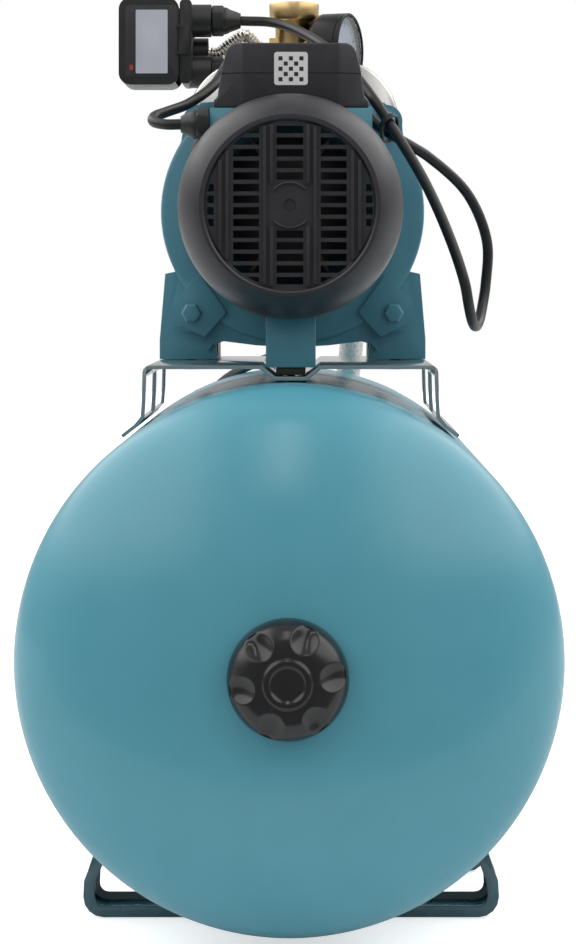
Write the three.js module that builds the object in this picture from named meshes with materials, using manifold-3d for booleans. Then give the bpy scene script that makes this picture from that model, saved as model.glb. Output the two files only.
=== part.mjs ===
// Booster set: a self-priming jet pump with its electric motor, bolted on a horizontal
// membrane pressure tank.  Millimetres, +Z up, the shaft and the tank lie along +Y.
import * as THREE from 'three';
import { mergeVertices } from 'three/addons/utils/BufferGeometryUtils.js';
import Module from 'manifold-3d';

const wasm = await Module();
wasm.setup();

// ---------------------------------------------------------------- driving dimensions
const GAP = 0.3;                      // air left between pieces that touch

const TANK_R = 180;                   // outer radius of the tank
const TANK_CLEARANCE = 12;            // floor to the lowest point of the tank
const TANK_Z = TANK_R + TANK_CLEARANCE;
const TANK_LENGTH = 400;              // straight part, from y = 0
const DOME_DEPTH = 80;
const TANK_WALL = 2;
const SEAM_Y = 256;                   // weld between the two drawn halves
const NECK_R = 76;                    // flange at the rear of the tank
const NECK_Y = 486;

const VALVE_Y = -98;                  // tip of the air valve
const CAP_R = 38.3;
const CAP_FRONT_Y = -105;

const FOOT_HALF = 144;                // half width of a foot strip
const FOOT_DEPTH = 45;
const SHEET = 2.5;                    // thickness of the pressed steel sheet
const FRONT_FOOT_Y = 105;
const REAR_FOOT_Y = 250;

const PLATE_Z = 383.5;                // top of the platform plate
const PLATE_HALF = 100;
const PLATE_Y0 = 60;
const PLATE_Y1 = 296;
const TROUGH_DEPTH = 7.7;

const SHAFT_Z = 491;                  // height of the pump shaft
const SHAFT_R = 7.2;
const BRACKET_Y0 = 200;
const BRACKET_Y1 = 225;
const BRACKET_R = 96;
const BOLT_OFFSET = 73.5;             // the two lower casing bolts, sideways and down
const BOLT_R = 4;

const RIM_Y0 = BRACKET_Y1 + GAP;      // clamping rim of the stainless casing
const RIM_Y1 = 240;
const BARREL_Y1 = 385;
const STEEL = 2;

const FITTING_Y = 320;                // upright axis of the brass five-way fitting
const PORT_Z = 618;                   // height of its side ports
const FITTING_TOP_Z = 655;
const GAUGE_TURN = THREE.MathUtils.degToRad(-22);
const GAUGE_R = 28;

const SWITCH_Y = 300;                 // depth of the two cable bosses of the pressure switch
const BOSS_UPPER_Z = 639.8;
const BOSS_LOWER_Z = 600.8;

const CORD_R = 3.75;
const HOSE_R = 10.5;
const COIL = { x: -90, y: 465, meanR: 41, height: 22.6 };

// The middle of the set, from the tip of the valve cap to the tank elbow, stands over the origin.
const MIDDLE_Y = 218;

// ---------------------------------------------------------------- solids
const polar = (radius, angle) => [radius * Math.cos(angle), radius * Math.sin(angle)];
const deg = THREE.MathUtils.degToRad;

/** A closed manifold-3d solid from a three.js geometry. */
function solid(geometry) {
  const bare = geometry.index ? geometry.toNonIndexed() : geometry.clone();
  bare.deleteAttribute('normal');
  bare.deleteAttribute('uv');
  const merged = mergeVertices(bare, 1e-4);
  const at = merged.attributes.position.array;
  const index = merged.index.array;
  const triangles = [];
  let volume = 0;
  const corner = (i) => new THREE.Vector3().fromArray(at, 3 * i);
  for (let i = 0; i < index.length; i += 3) {
    const [a, b, c] = [index[i], index[i + 1], index[i + 2]];
    if (a === b || b === c || a === c) continue;
    triangles.push(a, b, c);
    volume += corner(a).dot(corner(b).cross(corner(c)));
  }
  if (volume < 0) triangles.reverse();
  return new wasm.Manifold(new wasm.Mesh({
    numProp: 3,
    vertProperties: Float32Array.from(at),
    triVerts: Uint32Array.from(triangles),
  }));
}

const join = (first, ...others) => others.reduce((sum, other) => sum.add(other), first);
const cut = (first, ...others) => others.reduce((rest, other) => rest.subtract(other), first);

/** A solid of revolution.  The profile lists [radius, distance along the axis]. */
function turned(profile, axis, at = [0, 0, 0], segments = 24, swing = 0) {
  const outline = profile.map(([r, along]) => new THREE.Vector2(r, along));
  if (profile[0][0] > 0 || profile.at(-1)[0] > 0) outline.push(outline[0].clone());
  const geometry = new THREE.LatheGeometry(outline, segments);
  if (axis === 'z') geometry.rotateX(Math.PI / 2);
  if (axis === 'x') geometry.rotateZ(-Math.PI / 2);
  geometry.rotateZ(swing);
  return solid(geometry.translate(...at));
}

const rod = (radius, from, to, axis, at, segments = 10) =>
  turned([[0, from], [radius, from], [radius, to], [0, to]], axis, at, segments);

const ring = (inner, outer, from, to, axis, at, segments = 12) =>
  turned([[inner, from], [outer, from], [outer, to], [inner, to]], axis, at, segments);

/** A flat outline in X and Z, pushed from y0 to y1; a bevel rounds both ends inwards. */
function slab(shape, y0, y1, curveSegments = 6, bevel = 0) {
  const geometry = new THREE.ExtrudeGeometry(shape, {
    depth: y1 - y0 - 2 * bevel,
    curveSegments,
    bevelEnabled: bevel > 0,
    bevelThickness: bevel,
    bevelSize: bevel,
    bevelOffset: -bevel,
    bevelSegments: 2,
  });
  return solid(geometry.rotateX(Math.PI / 2).translate(0, y1 - bevel, 0));
}

/** A block between two opposite corners. */
function block([x0, y0, z0], [x1, y1, z1]) {
  const geometry = new THREE.BoxGeometry(x1 - x0, y1 - y0, z1 - z0);
  return solid(geometry.translate((x0 + x1) / 2, (y0 + y1) / 2, (z0 + z1) / 2));
}

/** A closed outline from a list of points. */
const outlineOf = (points) => new THREE.Shape(points.map(([x, z]) => new THREE.Vector2(x, z)));

/** Points on an arc, in steps. */
function arc(x, z, radius, from, to, steps) {
  return Array.from({ length: steps + 1 }, (_, i) => {
    const [dx, dz] = polar(radius, from + (to - from) * i / steps);
    return [x + dx, z + dz];
  });
}

/** A band of even thickness on the left-hand side of an open line. */
function band(line, thickness) {
  const points = line.map(([x, z]) => new THREE.Vector2(x, z));
  const normals = points.slice(1).map((p, i) => {
    const along = p.clone().sub(points[i]).normalize();
    return new THREE.Vector2(-along.y, along.x);
  });
  const inner = points.map((p, i) => {
    const before = normals[Math.max(i - 1, 0)];
    const after = normals[Math.min(i, normals.length - 1)];
    const mitre = before.clone().add(after).normalize();
    return p.clone().addScaledVector(mitre, thickness / mitre.dot(before));
  });
  return new THREE.Shape([...points, ...inner.reverse()]);
}

/** A round bar along a smooth curve through points. */
function tube(points, radius, sides, steps) {
  const curve = new THREE.CatmullRomCurve3(
    points.map((p) => new THREE.Vector3(...p)), false, 'centripetal');
  const section = new THREE.Shape(Array.from({ length: sides }, (_, i) =>
    new THREE.Vector2(...polar(radius, 2 * Math.PI * i / sides))));
  return solid(new THREE.ExtrudeGeometry(section, { steps, extrudePath: curve, curveSegments: 1 }));
}

// ---------------------------------------------------------------- finishes
const finish = (color, roughness, metalness) =>
  new THREE.MeshStandardMaterial({ color, roughness, metalness });
const teal = finish(0x4a8a9c, 0.3, 0.1);
const castTeal = finish(0x3f7486, 0.4, 0.1);
const blackPlastic = finish(0x2c2c2e, 0.5, 0);
const greyPlastic = finish(0x3d3c40, 0.5, 0);
const stainless = finish(0xb9b8b6, 0.3, 1);
const steel = finish(0x8f9193, 0.4, 1);
const brass = finish(0xc6a760, 0.35, 1);
const nickel = finish(0xc4bfb2, 0.25, 1);
const rubber = finish(0x1f1f21, 0.8, 0);
const copper = finish(0xb4683a, 0.45, 1);
const whitePlastic = finish(0xd9dade, 0.5, 0);
const clear = finish(0xdfe8ee, 0.1, 0);
const red = finish(0xb3201c, 0.5, 0);

const set = new THREE.Group();
set.position.y = -MIDDLE_Y;

function add(name, body, material) {
  const { numProp, vertProperties, triVerts } = body.getMesh();
  const geometry = new THREE.BufferGeometry();
  const positions = new Float32Array(vertProperties.length / numProp * 3);
  for (let i = 0; i < positions.length; i += 1) {
    positions[i] = vertProperties[Math.floor(i / 3) * numProp + i % 3];
  }
  geometry.setAttribute('position', new THREE.BufferAttribute(positions, 3));
  geometry.setIndex(new THREE.BufferAttribute(triVerts, 1));
  geometry.computeVertexNormals();
  const mesh = new THREE.Mesh(geometry, material);
  mesh.name = name;
  set.add(mesh);
}

// ---------------------------------------------------------------- pressure tank
const onTank = [0, 0, TANK_Z];

/** Points on an elliptic dome of the tank, from the radius of its hole out to the rim. */
function dome(radius, depth, holeR, steps) {
  const first = Math.asin(holeR / radius);
  return Array.from({ length: steps + 1 }, (_, i) => {
    const angle = first + (Math.PI / 2 - first) * i / steps;
    return [radius * Math.sin(angle), depth * Math.cos(angle)];
  });
}

function tankFrontShell() {
  const outer = dome(TANK_R, DOME_DEPTH, 6.8, 4).map(([r, y]) => [r, -y]);
  const inner = dome(TANK_R - TANK_WALL, DOME_DEPTH - TANK_WALL, 6.8, 4).map(([r, y]) => [r, -y]);
  const edge = SEAM_Y - GAP / 2;
  return turned([...outer, [TANK_R, edge], [TANK_R - TANK_WALL, edge], ...inner.reverse()],
    'y', onTank, 32);
}

function tankRearShell() {
  const hole = 48;
  const outer = dome(TANK_R, DOME_DEPTH, hole + 3, 4).map(([r, y]) => [r, TANK_LENGTH + y]);
  const inner = dome(TANK_R - TANK_WALL, DOME_DEPTH - TANK_WALL, hole, 4)
    .map(([r, y]) => [r, TANK_LENGTH + y]);
  const edge = SEAM_Y + GAP / 2;
  const neck = [[hole, NECK_Y], [NECK_R, NECK_Y], [NECK_R, NECK_Y - 3], [hole + 3, NECK_Y - 3]];
  const shell = turned([...neck, ...outer, [TANK_R, edge], [TANK_R - TANK_WALL, edge],
    ...inner.reverse()], 'y', onTank, 32);
  return cut(shell, ...flangeBoltHoles());
}

const flangeBoltAngles = Array.from({ length: 6 }, (_, i) => deg(30 + 60 * i));

function flangeBoltAt(angle) {
  const [x, z] = polar(66, angle);
  return [x, 0, TANK_Z + z];
}

function flangeBoltHoles() {
  return flangeBoltAngles.map((angle) => rod(3.7, NECK_Y - 5, NECK_Y + 8, 'y', flangeBoltAt(angle), 6));
}

function membrane() {
  const outside = [[0, -34], [80, -22], [138, 40], [150, 130], [150, 270], [125, 370], [70, 440],
    [46, 466], [46, NECK_Y + GAP], [58, NECK_Y + GAP], [58, NECK_Y + 2.3], [43, NECK_Y + 2.3]];
  const inside = [[43, 464], [67, 438], [122, 368], [147, 269], [147, 131], [135, 42], [78, -19],
    [0, -31]];
  return turned([...outside, ...inside], 'y', onTank, 12);
}

function rearFlange() {
  const face = NECK_Y + 2.6;
  const profile = [[14, face], [NECK_R, face], [NECK_R, face + 3], [22, face + 3], [20, face + 5],
    [20, 505], [14, 505]];
  return cut(turned(profile, 'y', onTank, 18), ...flangeBoltHoles());
}

function flangeBolt(angle) {
  const at = flangeBoltAt(angle);
  const head = NECK_Y + 5.9;
  return join(
    rod(3, NECK_Y - 8, head + 1, 'y', at, 8),
    rod(5.8, head, head + 4, 'y', at, 6),
    rod(5.8, NECK_Y - 8, NECK_Y - 3.3, 'y', at, 6),
  );
}

function tankElbow() {
  const upright = [0, 524, TANK_Z];
  const outside = join(
    rod(13.7, 496, 509, 'y', onTank, 12),
    rod(19, 505.3, 514, 'y', onTank, 6),
    rod(15, 512, 538, 'y', onTank, 12),
    rod(14.5, 0, 24, 'z', upright, 12),
    rod(17, 16, 26, 'z', upright, 6),
  );
  return cut(outside, rod(9, 490, 524, 'y', onTank), rod(9, -8, 30, 'z', upright));
}

function airValveStem() {
  const root = -DOME_DEPTH + TANK_WALL + 1.6;
  const profile = [[2.4, root + 4], [13, root + 4], [13, root], [6.4, root], [6.4, -80.9],
    [12, -80.9], [12, -85], [8, -85], [8, VALVE_Y], [2.4, VALVE_Y]];
  return turned(profile, 'y', onTank, 10);
}

const airValvePin = () => join(rod(1, VALVE_Y - 0.8, -72, 'y', onTank, 8),
  rod(1.8, -90, -84, 'y', onTank, 8));

function airValveCap() {
  const shell = turned([
    [CAP_R, -78.9], [37, -93], [31, -99.5], [16, -102.8], [14.8, CAP_FRONT_Y],
    [11, CAP_FRONT_Y], [10, -103.4], [0, -103.4], [0, -99.6], [8.4, -99.6], [8.4, -88],
    [11.5, -88], [11.5, -98], [29, -95], [35.6, -84], [35.6, -78.9],
  ], 'y', onTank, 20);
  const dimples = Array.from({ length: 6 }, (_, i) => {
    const [x, z] = polar(29, deg(8 + 60 * i));
    const ball = new THREE.SphereGeometry(9, 7, 4);
    return solid(ball.translate(x, -106, TANK_Z + z));
  });
  return cut(shell, ...dimples);
}

// ---------------------------------------------------------------- feet and platform
function footStrip(y0) {
  const corner = 14;
  const right = [
    ...arc(FOOT_HALF - corner, corner, corner, -Math.PI / 2, 0, 4),
    [FOOT_HALF - 0.5, 25], [FOOT_HALF - 3, 31.5], [130.8, 62],
  ];
  const left = right.map(([x, z]) => [-x, z]).reverse();
  const line = [...left, ...right];
  const lip = 8;
  const y1 = y0 + FOOT_DEPTH;
  const strip = join(
    slab(band(line, SHEET), y0, y1),
    slab(band(line, lip), y0, y0 + SHEET),
    slab(band(line, lip), y1 - SHEET, y1),
  );
  const tools = [-1, 1].flatMap((side) => [
    block([side * 118 - 8, y0 + 17, -1], [side * 118 + 8, y0 + 28, 4]),
    block([side * 142 - 6, y0 + 17, 22], [side * 142 + 6, y0 + 28, 36]),
  ]);
  return cut(strip, ...tools, tankClearance(0.4));
}

/** The outside of the tank, a little larger, to trim the pieces that are welded on it. */
function tankClearance(extra) {
  return rod(TANK_R + extra, 40, 390, 'y', onTank, 80);
}

function pumpPlatform() {
  const top = PLATE_Z - SHEET;
  const right = [
    [11, top - TROUGH_DEPTH], [21, top],
    ...arc(PLATE_HALF - 5, top - 2.5, 2.5, Math.PI / 2, 0, 3),
    [PLATE_HALF - 2, 360], [PLATE_HALF - 1.2, 348], [104, 341.6], [113, 334.6],
  ];
  const left = right.map(([x, z]) => [-x, z]).reverse();
  const sheet = slab(band([...left, ...right], SHEET), PLATE_Y0, PLATE_Y1);
  const windows = [-1, 1].flatMap((side) => [[64, 172], [184, 292]].map(([y0, y1]) =>
    block([side * 99 - 8, y0, 348], [side * 99 + 8, y1, 376])));
  const slots = [
    block([-6, 120, 370], [6, 132, 380]),
    block([-6, 240, 370], [6, 262, 380]),
    rod(3.3, 370, 380, 'z', [0, 98, 0], 12),
    ...[-1, 1].map((side) => rod(4.4, 375, 390, 'z', [side * 76, 252, 0], 12)),
  ];
  return cut(sheet, ...windows, ...slots, tankClearance(0.4));
}

// ---------------------------------------------------------------- motor
const onShaft = [0, 0, SHAFT_Z];

/** Cooling fins around the motor barrel, one saw-tooth outline. */
function finnedOutline(root, tip, fins) {
  const points = [];
  for (let i = 0; i < fins; i += 1) {
    const step = 2 * Math.PI / fins;
    const a = i * step + step / 2;
    points.push(polar(root, a), polar(tip, a + step * 0.42), polar(tip, a + step * 0.58));
  }
  return outlineOf(points);
}

function motorFrame() {
  const barrel = slab(finnedOutline(63, 70, 18), 92, 190).translate(0, 0, SHAFT_Z);
  const outside = join(
    barrel,
    rod(66, 84, 94, 'y', onShaft, 20),
    rod(66, 188, BRACKET_Y0 - GAP, 'y', onShaft, 20),
    block([-56, 96, SHAFT_Z + 48], [56, 171, SHAFT_Z + 69]),
    block([-14, 90, SHAFT_Z - 78], [14, 108, SHAFT_Z - 60]),
  );
  return cut(
    outside,
    rod(57, 94, 210, 'y', onShaft, 20),
    rod(17.8, 87, 100, 'y', onShaft, 16),
    rod(9, 80, 100, 'y', onShaft, 10),
  );
}

const stator = () => turned([
  [32, 103], [50, 103], [50, 114], [55.6, 114], [55.6, 172], [50, 172], [50, 184], [32, 184],
  [32, 172], [30.9, 172], [30.9, 114], [32, 114],
], 'y', onShaft, 16);

const rotorShaft = () => turned([
  [0, 36], [5.5, 36], [5.5, 66], [SHAFT_R, 66], [SHAFT_R, 262], [5, 262], [5, 270], [0, 270],
], 'y', onShaft, 12);

const rotorCore = () => turned([
  [SHAFT_R + GAP, 106], [26, 106], [30, 112], [30, 174], [26, 180], [SHAFT_R + GAP, 180],
], 'y', onShaft, 16);

function coolingFan() {
  const hub = ring(5.8, 14, 42, 60, 'y', onShaft, 10);
  const disc = ring(10, 50, 58, 61, 'y', onShaft, 18);
  const blades = Array.from({ length: 6 }, (_, i) => {
    const blade = new THREE.BoxGeometry(40, 22, 2.4);
    blade.translate(31, 48.5, 0);
    return solid(blade.rotateY(i * Math.PI / 3).translate(...onShaft));
  });
  return join(hub, disc, ...blades);
}

const bearing = (y, outerR) => turned([
  [7.5, y], [outerR, y], [outerR, y + 11], [7.5, y + 11],
], 'y', onShaft, 16);

function fanCover() {
  const outer = [[0, 25.5], [56, 25.5], [68, 35], [75, 50], [76.5, 66], [76.5, 79.7]];
  const inner = [[74.2, 79.7], [74.2, 66], [72.6, 51], [66.5, 37.5], [55, 28], [0, 28]];
  const shell = turned([...outer, ...inner], 'y', onShaft, 24);
  return cut(shell, ...grilleSlots());
}

/** Slots of the grille: three wide columns and two short ones, the middle one around the hub. */
function grilleSlots() {
  const pitch = 7.7;
  const height = 4.6;
  const columns = [
    { x: -30, width: 17, rows: 6 },
    { x: 0, width: 17, rows: 7, hub: true },
    { x: 30, width: 17, rows: 6 },
    { x: -49, width: 6, rows: 2 },
    { x: 49, width: 6, rows: 2 },
  ];
  return columns.flatMap(({ x, width, rows, hub }) => {
    const slots = [];
    for (let row = -rows; row < rows; row += 1) {
      const z = SHAFT_Z + (row + 0.5) * pitch;
      if (hub && Math.abs(z - SHAFT_Z) < 14) continue;
      slots.push(block([x - width / 2, 20, z - height / 2], [x + width / 2, 34, z + height / 2]));
    }
    return slots;
  });
}

function motorFoot() {
  const top = SHAFT_Z - 71;
  const low = PLATE_Z - 2;
  const outside = block([-17, 80.4, low], [17, 112, top]);
  const inside = block([-14.5, 83, low + SHEET], [14.5, 113, top + 1]);
  const motorLug = block([-14.4, 89.6, SHAFT_Z - 78.4], [14.4, 112.4, SHAFT_Z]);
  return cut(outside, inside, motorLug, rod(3.4, low - 1, low + 4, 'z', [0, 98, 0], 12));
}

const footPad = () => cut(block([-10, 82, PLATE_Z - 7.1], [10, 112, PLATE_Z - 2.3]),
  rod(3.4, PLATE_Z - 8, PLATE_Z - 1, 'z', [0, 98, 0], 12));

function footBolt() {
  const at = [0, 98, PLATE_Z + SHEET - 2 + GAP];
  return join(rod(3, -11.4, 1, 'z', at, 8), rod(5.8, 0, 4.4, 'z', at, 6));
}

const BOX_Y1 = 172;

const boxOutline = (inset) => outlineOf([
  [-54 + inset, 69.4], [54 - inset, 69.4], [50 - inset, 96], [42 - inset, 110 - inset],
  [36 - inset, 114 - inset], [-36 + inset, 114 - inset], [-42 + inset, 110 - inset],
  [-50 + inset, 96],
]);

function terminalBox() {
  const outside = slab(boxOutline(0), 95, BOX_Y1);
  const inside = join(slab(boxOutline(2.5), 97.5, BOX_Y1 - 2.5),
    block([-50, 98, 68], [50, BOX_Y1 - 3, 72]));
  return cut(outside, inside).translate(0, 0, SHAFT_Z);
}

const capacitor = () => rod(15, 104, 162, 'y', [-18, 0, SHAFT_Z + 85], 16);

// ---------------------------------------------------------------- bracket and pump
const boltCorners = [[68, 66], [-68, 66], [-BOLT_OFFSET, -BOLT_OFFSET], [BOLT_OFFSET, -BOLT_OFFSET]]
  .map(([x, z]) => [x, 0, SHAFT_Z + z]);
const lowCorners = boltCorners.slice(2);

function motorBracket() {
  const floor = PLATE_Z + GAP;
  const plate = rod(BRACKET_R, BRACKET_Y0, BRACKET_Y1, 'y', onShaft, 28);
  const ears = boltCorners.map((at) => rod(at[2] > SHAFT_Z ? 12 : 14, BRACKET_Y0, BRACKET_Y1, 'y', at, 10));
  const feet = [-1, 1].flatMap((side) => {
    const leg = outlineOf([
      [side * 55, floor], [side * 97, floor], [side * 97, floor + 14], [side * 93, SHAFT_Z - 45],
      [side * 70, SHAFT_Z - 40], [side * 58, floor + 26],
    ]);
    const pad = [Math.min(side * 55, side * 97), Math.max(side * 55, side * 97)];
    return [slab(leg, BRACKET_Y0 + 6, BRACKET_Y1),
      block([pad[0], BRACKET_Y1 - 2, floor], [pad[1], 275, floor + 12])];
  });
  const outside = join(plate, ...ears, ...feet);
  const holes = [
    ...boltCorners.map((at) => rod(BOLT_R + 0.4, 190, 230, 'y', at, 8)),
    ...[-1, 1].map((side) => rod(4.4, floor - 1, floor + 14, 'z', [side * 76, 252, 0], 8)),
  ];
  return cut(
    outside,
    ...holes,
    rod(20.4, 198, 212, 'y', onShaft, 16),
    rod(9.5, 205, 226, 'y', onShaft, 12),
    rod(17.3, 214, 226, 'y', onShaft, 16),
  );
}

function bracketBolt(at) {
  return join(rod(BOLT_R, BRACKET_Y0 - 2, RIM_Y1 + 4, 'y', at, 8),
    rod(7.4, BRACKET_Y0 - 6, BRACKET_Y0 - GAP, 'y', at, 6));
}

function platformBolt(side) {
  const at = [side * 76, 252, 0];
  const top = PLATE_Z + 12 + 2 * GAP;
  return join(
    rod(4, PLATE_Z - SHEET - 6, top + 1, 'z', at, 10),
    rod(7.4, top, top + 5, 'z', at, 6),
    rod(7.4, PLATE_Z - SHEET - 6, PLATE_Z - SHEET - GAP, 'z', at, 6),
  );
}

/** A round bottom with two shoulders: the outline of the casing. */
function casingOutline(bodyR, shoulderX, shoulderZ, shoulderR) {
  const lean = Math.atan2(shoulderZ, shoulderX);
  const touch = lean - Math.acos((bodyR - shoulderR) / Math.hypot(shoulderX, shoulderZ));
  const shape = new THREE.Shape();
  shape.absarc(shoulderX, shoulderZ, shoulderR, touch, Math.PI / 2);
  shape.absarc(-shoulderX, shoulderZ, shoulderR, Math.PI / 2, Math.PI - touch);
  shape.absarc(0, 0, bodyR, Math.PI - touch, 2 * Math.PI + touch);
  return shape;
}

const SUCTION_Z = SHAFT_Z + 47;
const PLUG_Y = 270;

function pumpCasing() {
  const rim = slab(casingOutline(93, 32, 67, 46), RIM_Y0, RIM_Y1, 4, 3);
  const barrel = slab(casingOutline(85, 28, 62, 35), RIM_Y0, BARREL_Y1, 4, 14);
  const inside = slab(casingOutline(85 - STEEL, 28, 62, 35 - STEEL), RIM_Y0 - 16,
    BARREL_Y1 - STEEL, 4, 12);
  const shell = cut(join(rim, barrel), inside).translate(0, 0, SHAFT_Z);
  const at = [0, 0, SUCTION_Z];
  const bosses = [
    rod(24, BARREL_Y1 - 3, 402, 'y', at, 16),
    rod(20, SHAFT_Z + 94, SHAFT_Z + 101, 'z', [0, FITTING_Y, 0], 16),
    rod(13, SHAFT_Z + 94, SHAFT_Z + 100, 'z', [0, PLUG_Y, 0], 16),
    rod(11, BARREL_Y1 - 3, BARREL_Y1 + 3, 'y', [0, 0, SHAFT_Z - 60], 16),
  ];
  return cut(
    join(shell, ...bosses),
    rod(15.2, 370, 410, 'y', at, 16),
    rod(14.6, SHAFT_Z + 80, SHAFT_Z + 110, 'z', [0, FITTING_Y, 0], 16),
    rod(8.3, SHAFT_Z + 80, SHAFT_Z + 110, 'z', [0, PLUG_Y, 0], 12),
    rod(6.3, 370, 395, 'y', [0, 0, SHAFT_Z - 60], 16),
    ...boltCorners.map((corner) => rod(BOLT_R + 0.4, 220, 250, 'y', corner, 8)),
    ...lowCorners.map((corner) => rod(9, RIM_Y1, 262, 'y', corner, 8)),
  );
}

const casingSeal = () => ring(62, 65, 226, 229, 'y', onShaft, 16);

const mechanicalSeal = () => ring(SHAFT_R + GAP, 15, 218, 236, 'y', onShaft, 16);

function impeller() {
  const hub = ring(SHAFT_R + GAP, 13, 238, 260, 'y', onShaft, 16);
  const back = ring(SHAFT_R + GAP, 58, 240, 243, 'y', onShaft, 16);
  const front = ring(22, 58, 255, 258, 'y', onShaft, 16);
  const vanes = Array.from({ length: 6 }, (_, i) => {
    const blade = new THREE.BoxGeometry(40, 14, 2.2);
    blade.translate(36, 249, 0);
    blade.rotateY(deg(28));
    return solid(blade.rotateY(i * Math.PI / 3).translate(...onShaft));
  });
  const round = ring(SHAFT_R + GAP, 58, 236, 262, 'y', onShaft, 16);
  return join(hub, back, front, ...vanes).intersect(round);
}

const diffuser = () => turned([
  [61, 234], [76, 234], [76, 262], [72, 266], [19, 274], [17, 300], [13, 352], [17, 378], [13, 378],
  [9, 352], [12, 300], [14, 272], [24, 261.5], [61, 261.5],
], 'y', onShaft, 14);

const primingPlug = () => join(
  rod(8, SHAFT_Z + 93, SHAFT_Z + 101, 'z', [0, PLUG_Y, 0], 12),
  rod(12, SHAFT_Z + 100.3, SHAFT_Z + 103, 'z', [0, PLUG_Y, 0], 20),
  rod(9, SHAFT_Z + 102, SHAFT_Z + 109, 'z', [0, PLUG_Y, 0], 6),
);

function drainPlug() {
  const at = [0, 0, SHAFT_Z - 60];
  return join(
    rod(6, BARREL_Y1 - 4, BARREL_Y1 + 4, 'y', at, 16),
    rod(9.5, BARREL_Y1 + 3.3, BARREL_Y1 + 5.5, 'y', at, 16),
    rod(7.5, BARREL_Y1 + 5, BARREL_Y1 + 11, 'y', at, 6),
  );
}

// ---------------------------------------------------------------- fitting, gauge and switch
function fiveWayFitting() {
  const at = [0, FITTING_Y, 0];
  const port = [0, FITTING_Y, PORT_Z];
  const seat = SHAFT_Z + 101.3;
  const outside = join(
    turned([[0, seat - 12], [14.2, seat - 12], [14.2, seat], [14.4, seat], [14.4, PORT_Z + 18],
      [16, PORT_Z + 21], [19, PORT_Z + 25], [19.3, FITTING_TOP_Z], [0, FITTING_TOP_Z]], 'z', at, 16),
    rod(19, seat, seat + 9, 'z', at, 6),
    turned([[0, 0], [10.5, 0], [10.5, 19.7], [0, 19.7]], 'x', port, 12, GAUGE_TURN),
    rod(10.5, -19, 0, 'x', port, 12),
    rod(11, 0, 22, 'y', port, 12),
  );
  return cut(
    outside,
    rod(15.2, FITTING_TOP_Z - 16, FITTING_TOP_Z + 2, 'z', at, 16),
    rod(9.5, seat - 20, FITTING_TOP_Z, 'z', at, 10),
    rod(6, -25, 0, 'x', port, 10),
    rod(8, 0, 30, 'y', port, 10),
    turned([[0, 0], [5.3, 0], [5.3, 30], [0, 30]], 'x', port, 10, GAUGE_TURN),
  );
}

/** Gauge pieces are turned about the gauge's own axis, which leans towards the motor. */
const gaugePiece = (profile, segments) =>
  turned(profile, 'x', [0, FITTING_Y, PORT_Z], segments, GAUGE_TURN);

const gaugeCase = () => gaugePiece([
  [2.6, 12], [5, 12], [5, 20], [24, 20], [GAUGE_R - 1.5, 22], [GAUGE_R, 25], [GAUGE_R, 47],
  [GAUGE_R - 2.6, 47], [GAUGE_R - 2.6, 23], [2.6, 23],
], 20);

const gaugeDial = () => gaugePiece([[1.3, 40], [25.1, 40], [25.1, 41], [1.3, 41]], 20);

function gaugeNeedle() {
  const hand = new THREE.BoxGeometry(0.8, 1.6, 24).translate(42.2, 0, -7);
  const pivot = new THREE.CylinderGeometry(1, 1, 7, 8).rotateZ(Math.PI / 2).translate(39.5, 0, 0);
  const boss = new THREE.CylinderGeometry(2.6, 2.6, 1.2, 10).rotateZ(Math.PI / 2)
    .translate(42.3, 0, 0);
  const place = (geometry) => solid(geometry.rotateX(deg(-45)).rotateZ(GAUGE_TURN)
    .translate(0, FITTING_Y, PORT_Z));
  return join(place(hand), place(pivot), place(boss));
}

const gaugeLens = () => gaugePiece([[0, 44.4], [25.1, 44.4], [25.1, 46], [0, 46]], 20);

/** A rectangle with round corners in X and Z. */
function roundedBox(x0, z0, x1, z1, radius) {
  const shape = new THREE.Shape();
  shape.absarc(x1 - radius, z1 - radius, radius, 0, Math.PI / 2);
  shape.absarc(x0 + radius, z1 - radius, radius, Math.PI / 2, Math.PI);
  shape.absarc(x0 + radius, z0 + radius, radius, Math.PI, 1.5 * Math.PI);
  shape.absarc(x1 - radius, z0 + radius, radius, 1.5 * Math.PI, 2 * Math.PI);
  return shape;
}

function switchCover() {
  const outside = slab(roundedBox(-132, 589, -80, 655, 9), 272, 330, 3, 3);
  const inside = slab(roundedBox(-129.6, 591.4, -78, 652.6, 7), 274.6, 327.4, 2);
  return cut(outside, inside, block([-86.2, 260, 580], [-70, 340, 660]));
}

function switchBase() {
  return cut(
    join(
      slab(roundedBox(-86, 590, -77, 654, 4), 273.5, 328.5, 3),
      rod(12.5, -80, -63, 'x', [0, SWITCH_Y, BOSS_UPPER_Z], 14),
      rod(12.5, -80, -63, 'x', [0, SWITCH_Y, BOSS_LOWER_Z], 14),
      rod(10, -80, -66, 'x', [0, 316, PORT_Z], 12),
      gland([-63.3, SWITCH_Y, BOSS_LOWER_Z], 1, 7),
    ),
    rod(6, -90, -60, 'x', [0, SWITCH_Y, BOSS_UPPER_Z], 8),
    rod(6, -90, -60, 'x', [0, SWITCH_Y, BOSS_LOWER_Z], 8),
  );
}

/** A cable gland along X: hexagon, then a tapered nose that grips the cable. */
function gland([x, y, z], direction, noseLength) {
  const profile = [[4.1, 0], [12, 0], [12, 9], [10, 13], [6, 13 + noseLength],
    [4.1, 13 + noseLength]].map(([r, along]) => [r, direction * along]);
  return turned(profile, 'x', [x, y, z], 12);
}

const switchNipple = () => tube([
  [-65.6, 316, PORT_Z - 2], [-58, 316, PORT_Z - 2], [-48, 317, PORT_Z + 6],
  [-38, 318.5, PORT_Z + 12], [-29, 320, PORT_Z + 4], [-20.4, 320, PORT_Z],
], 5.5, 10, 10);

// ---------------------------------------------------------------- leads, hose and power cord
const motorGlandAt = [-56.3, 103, SHAFT_Z + 58];

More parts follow.
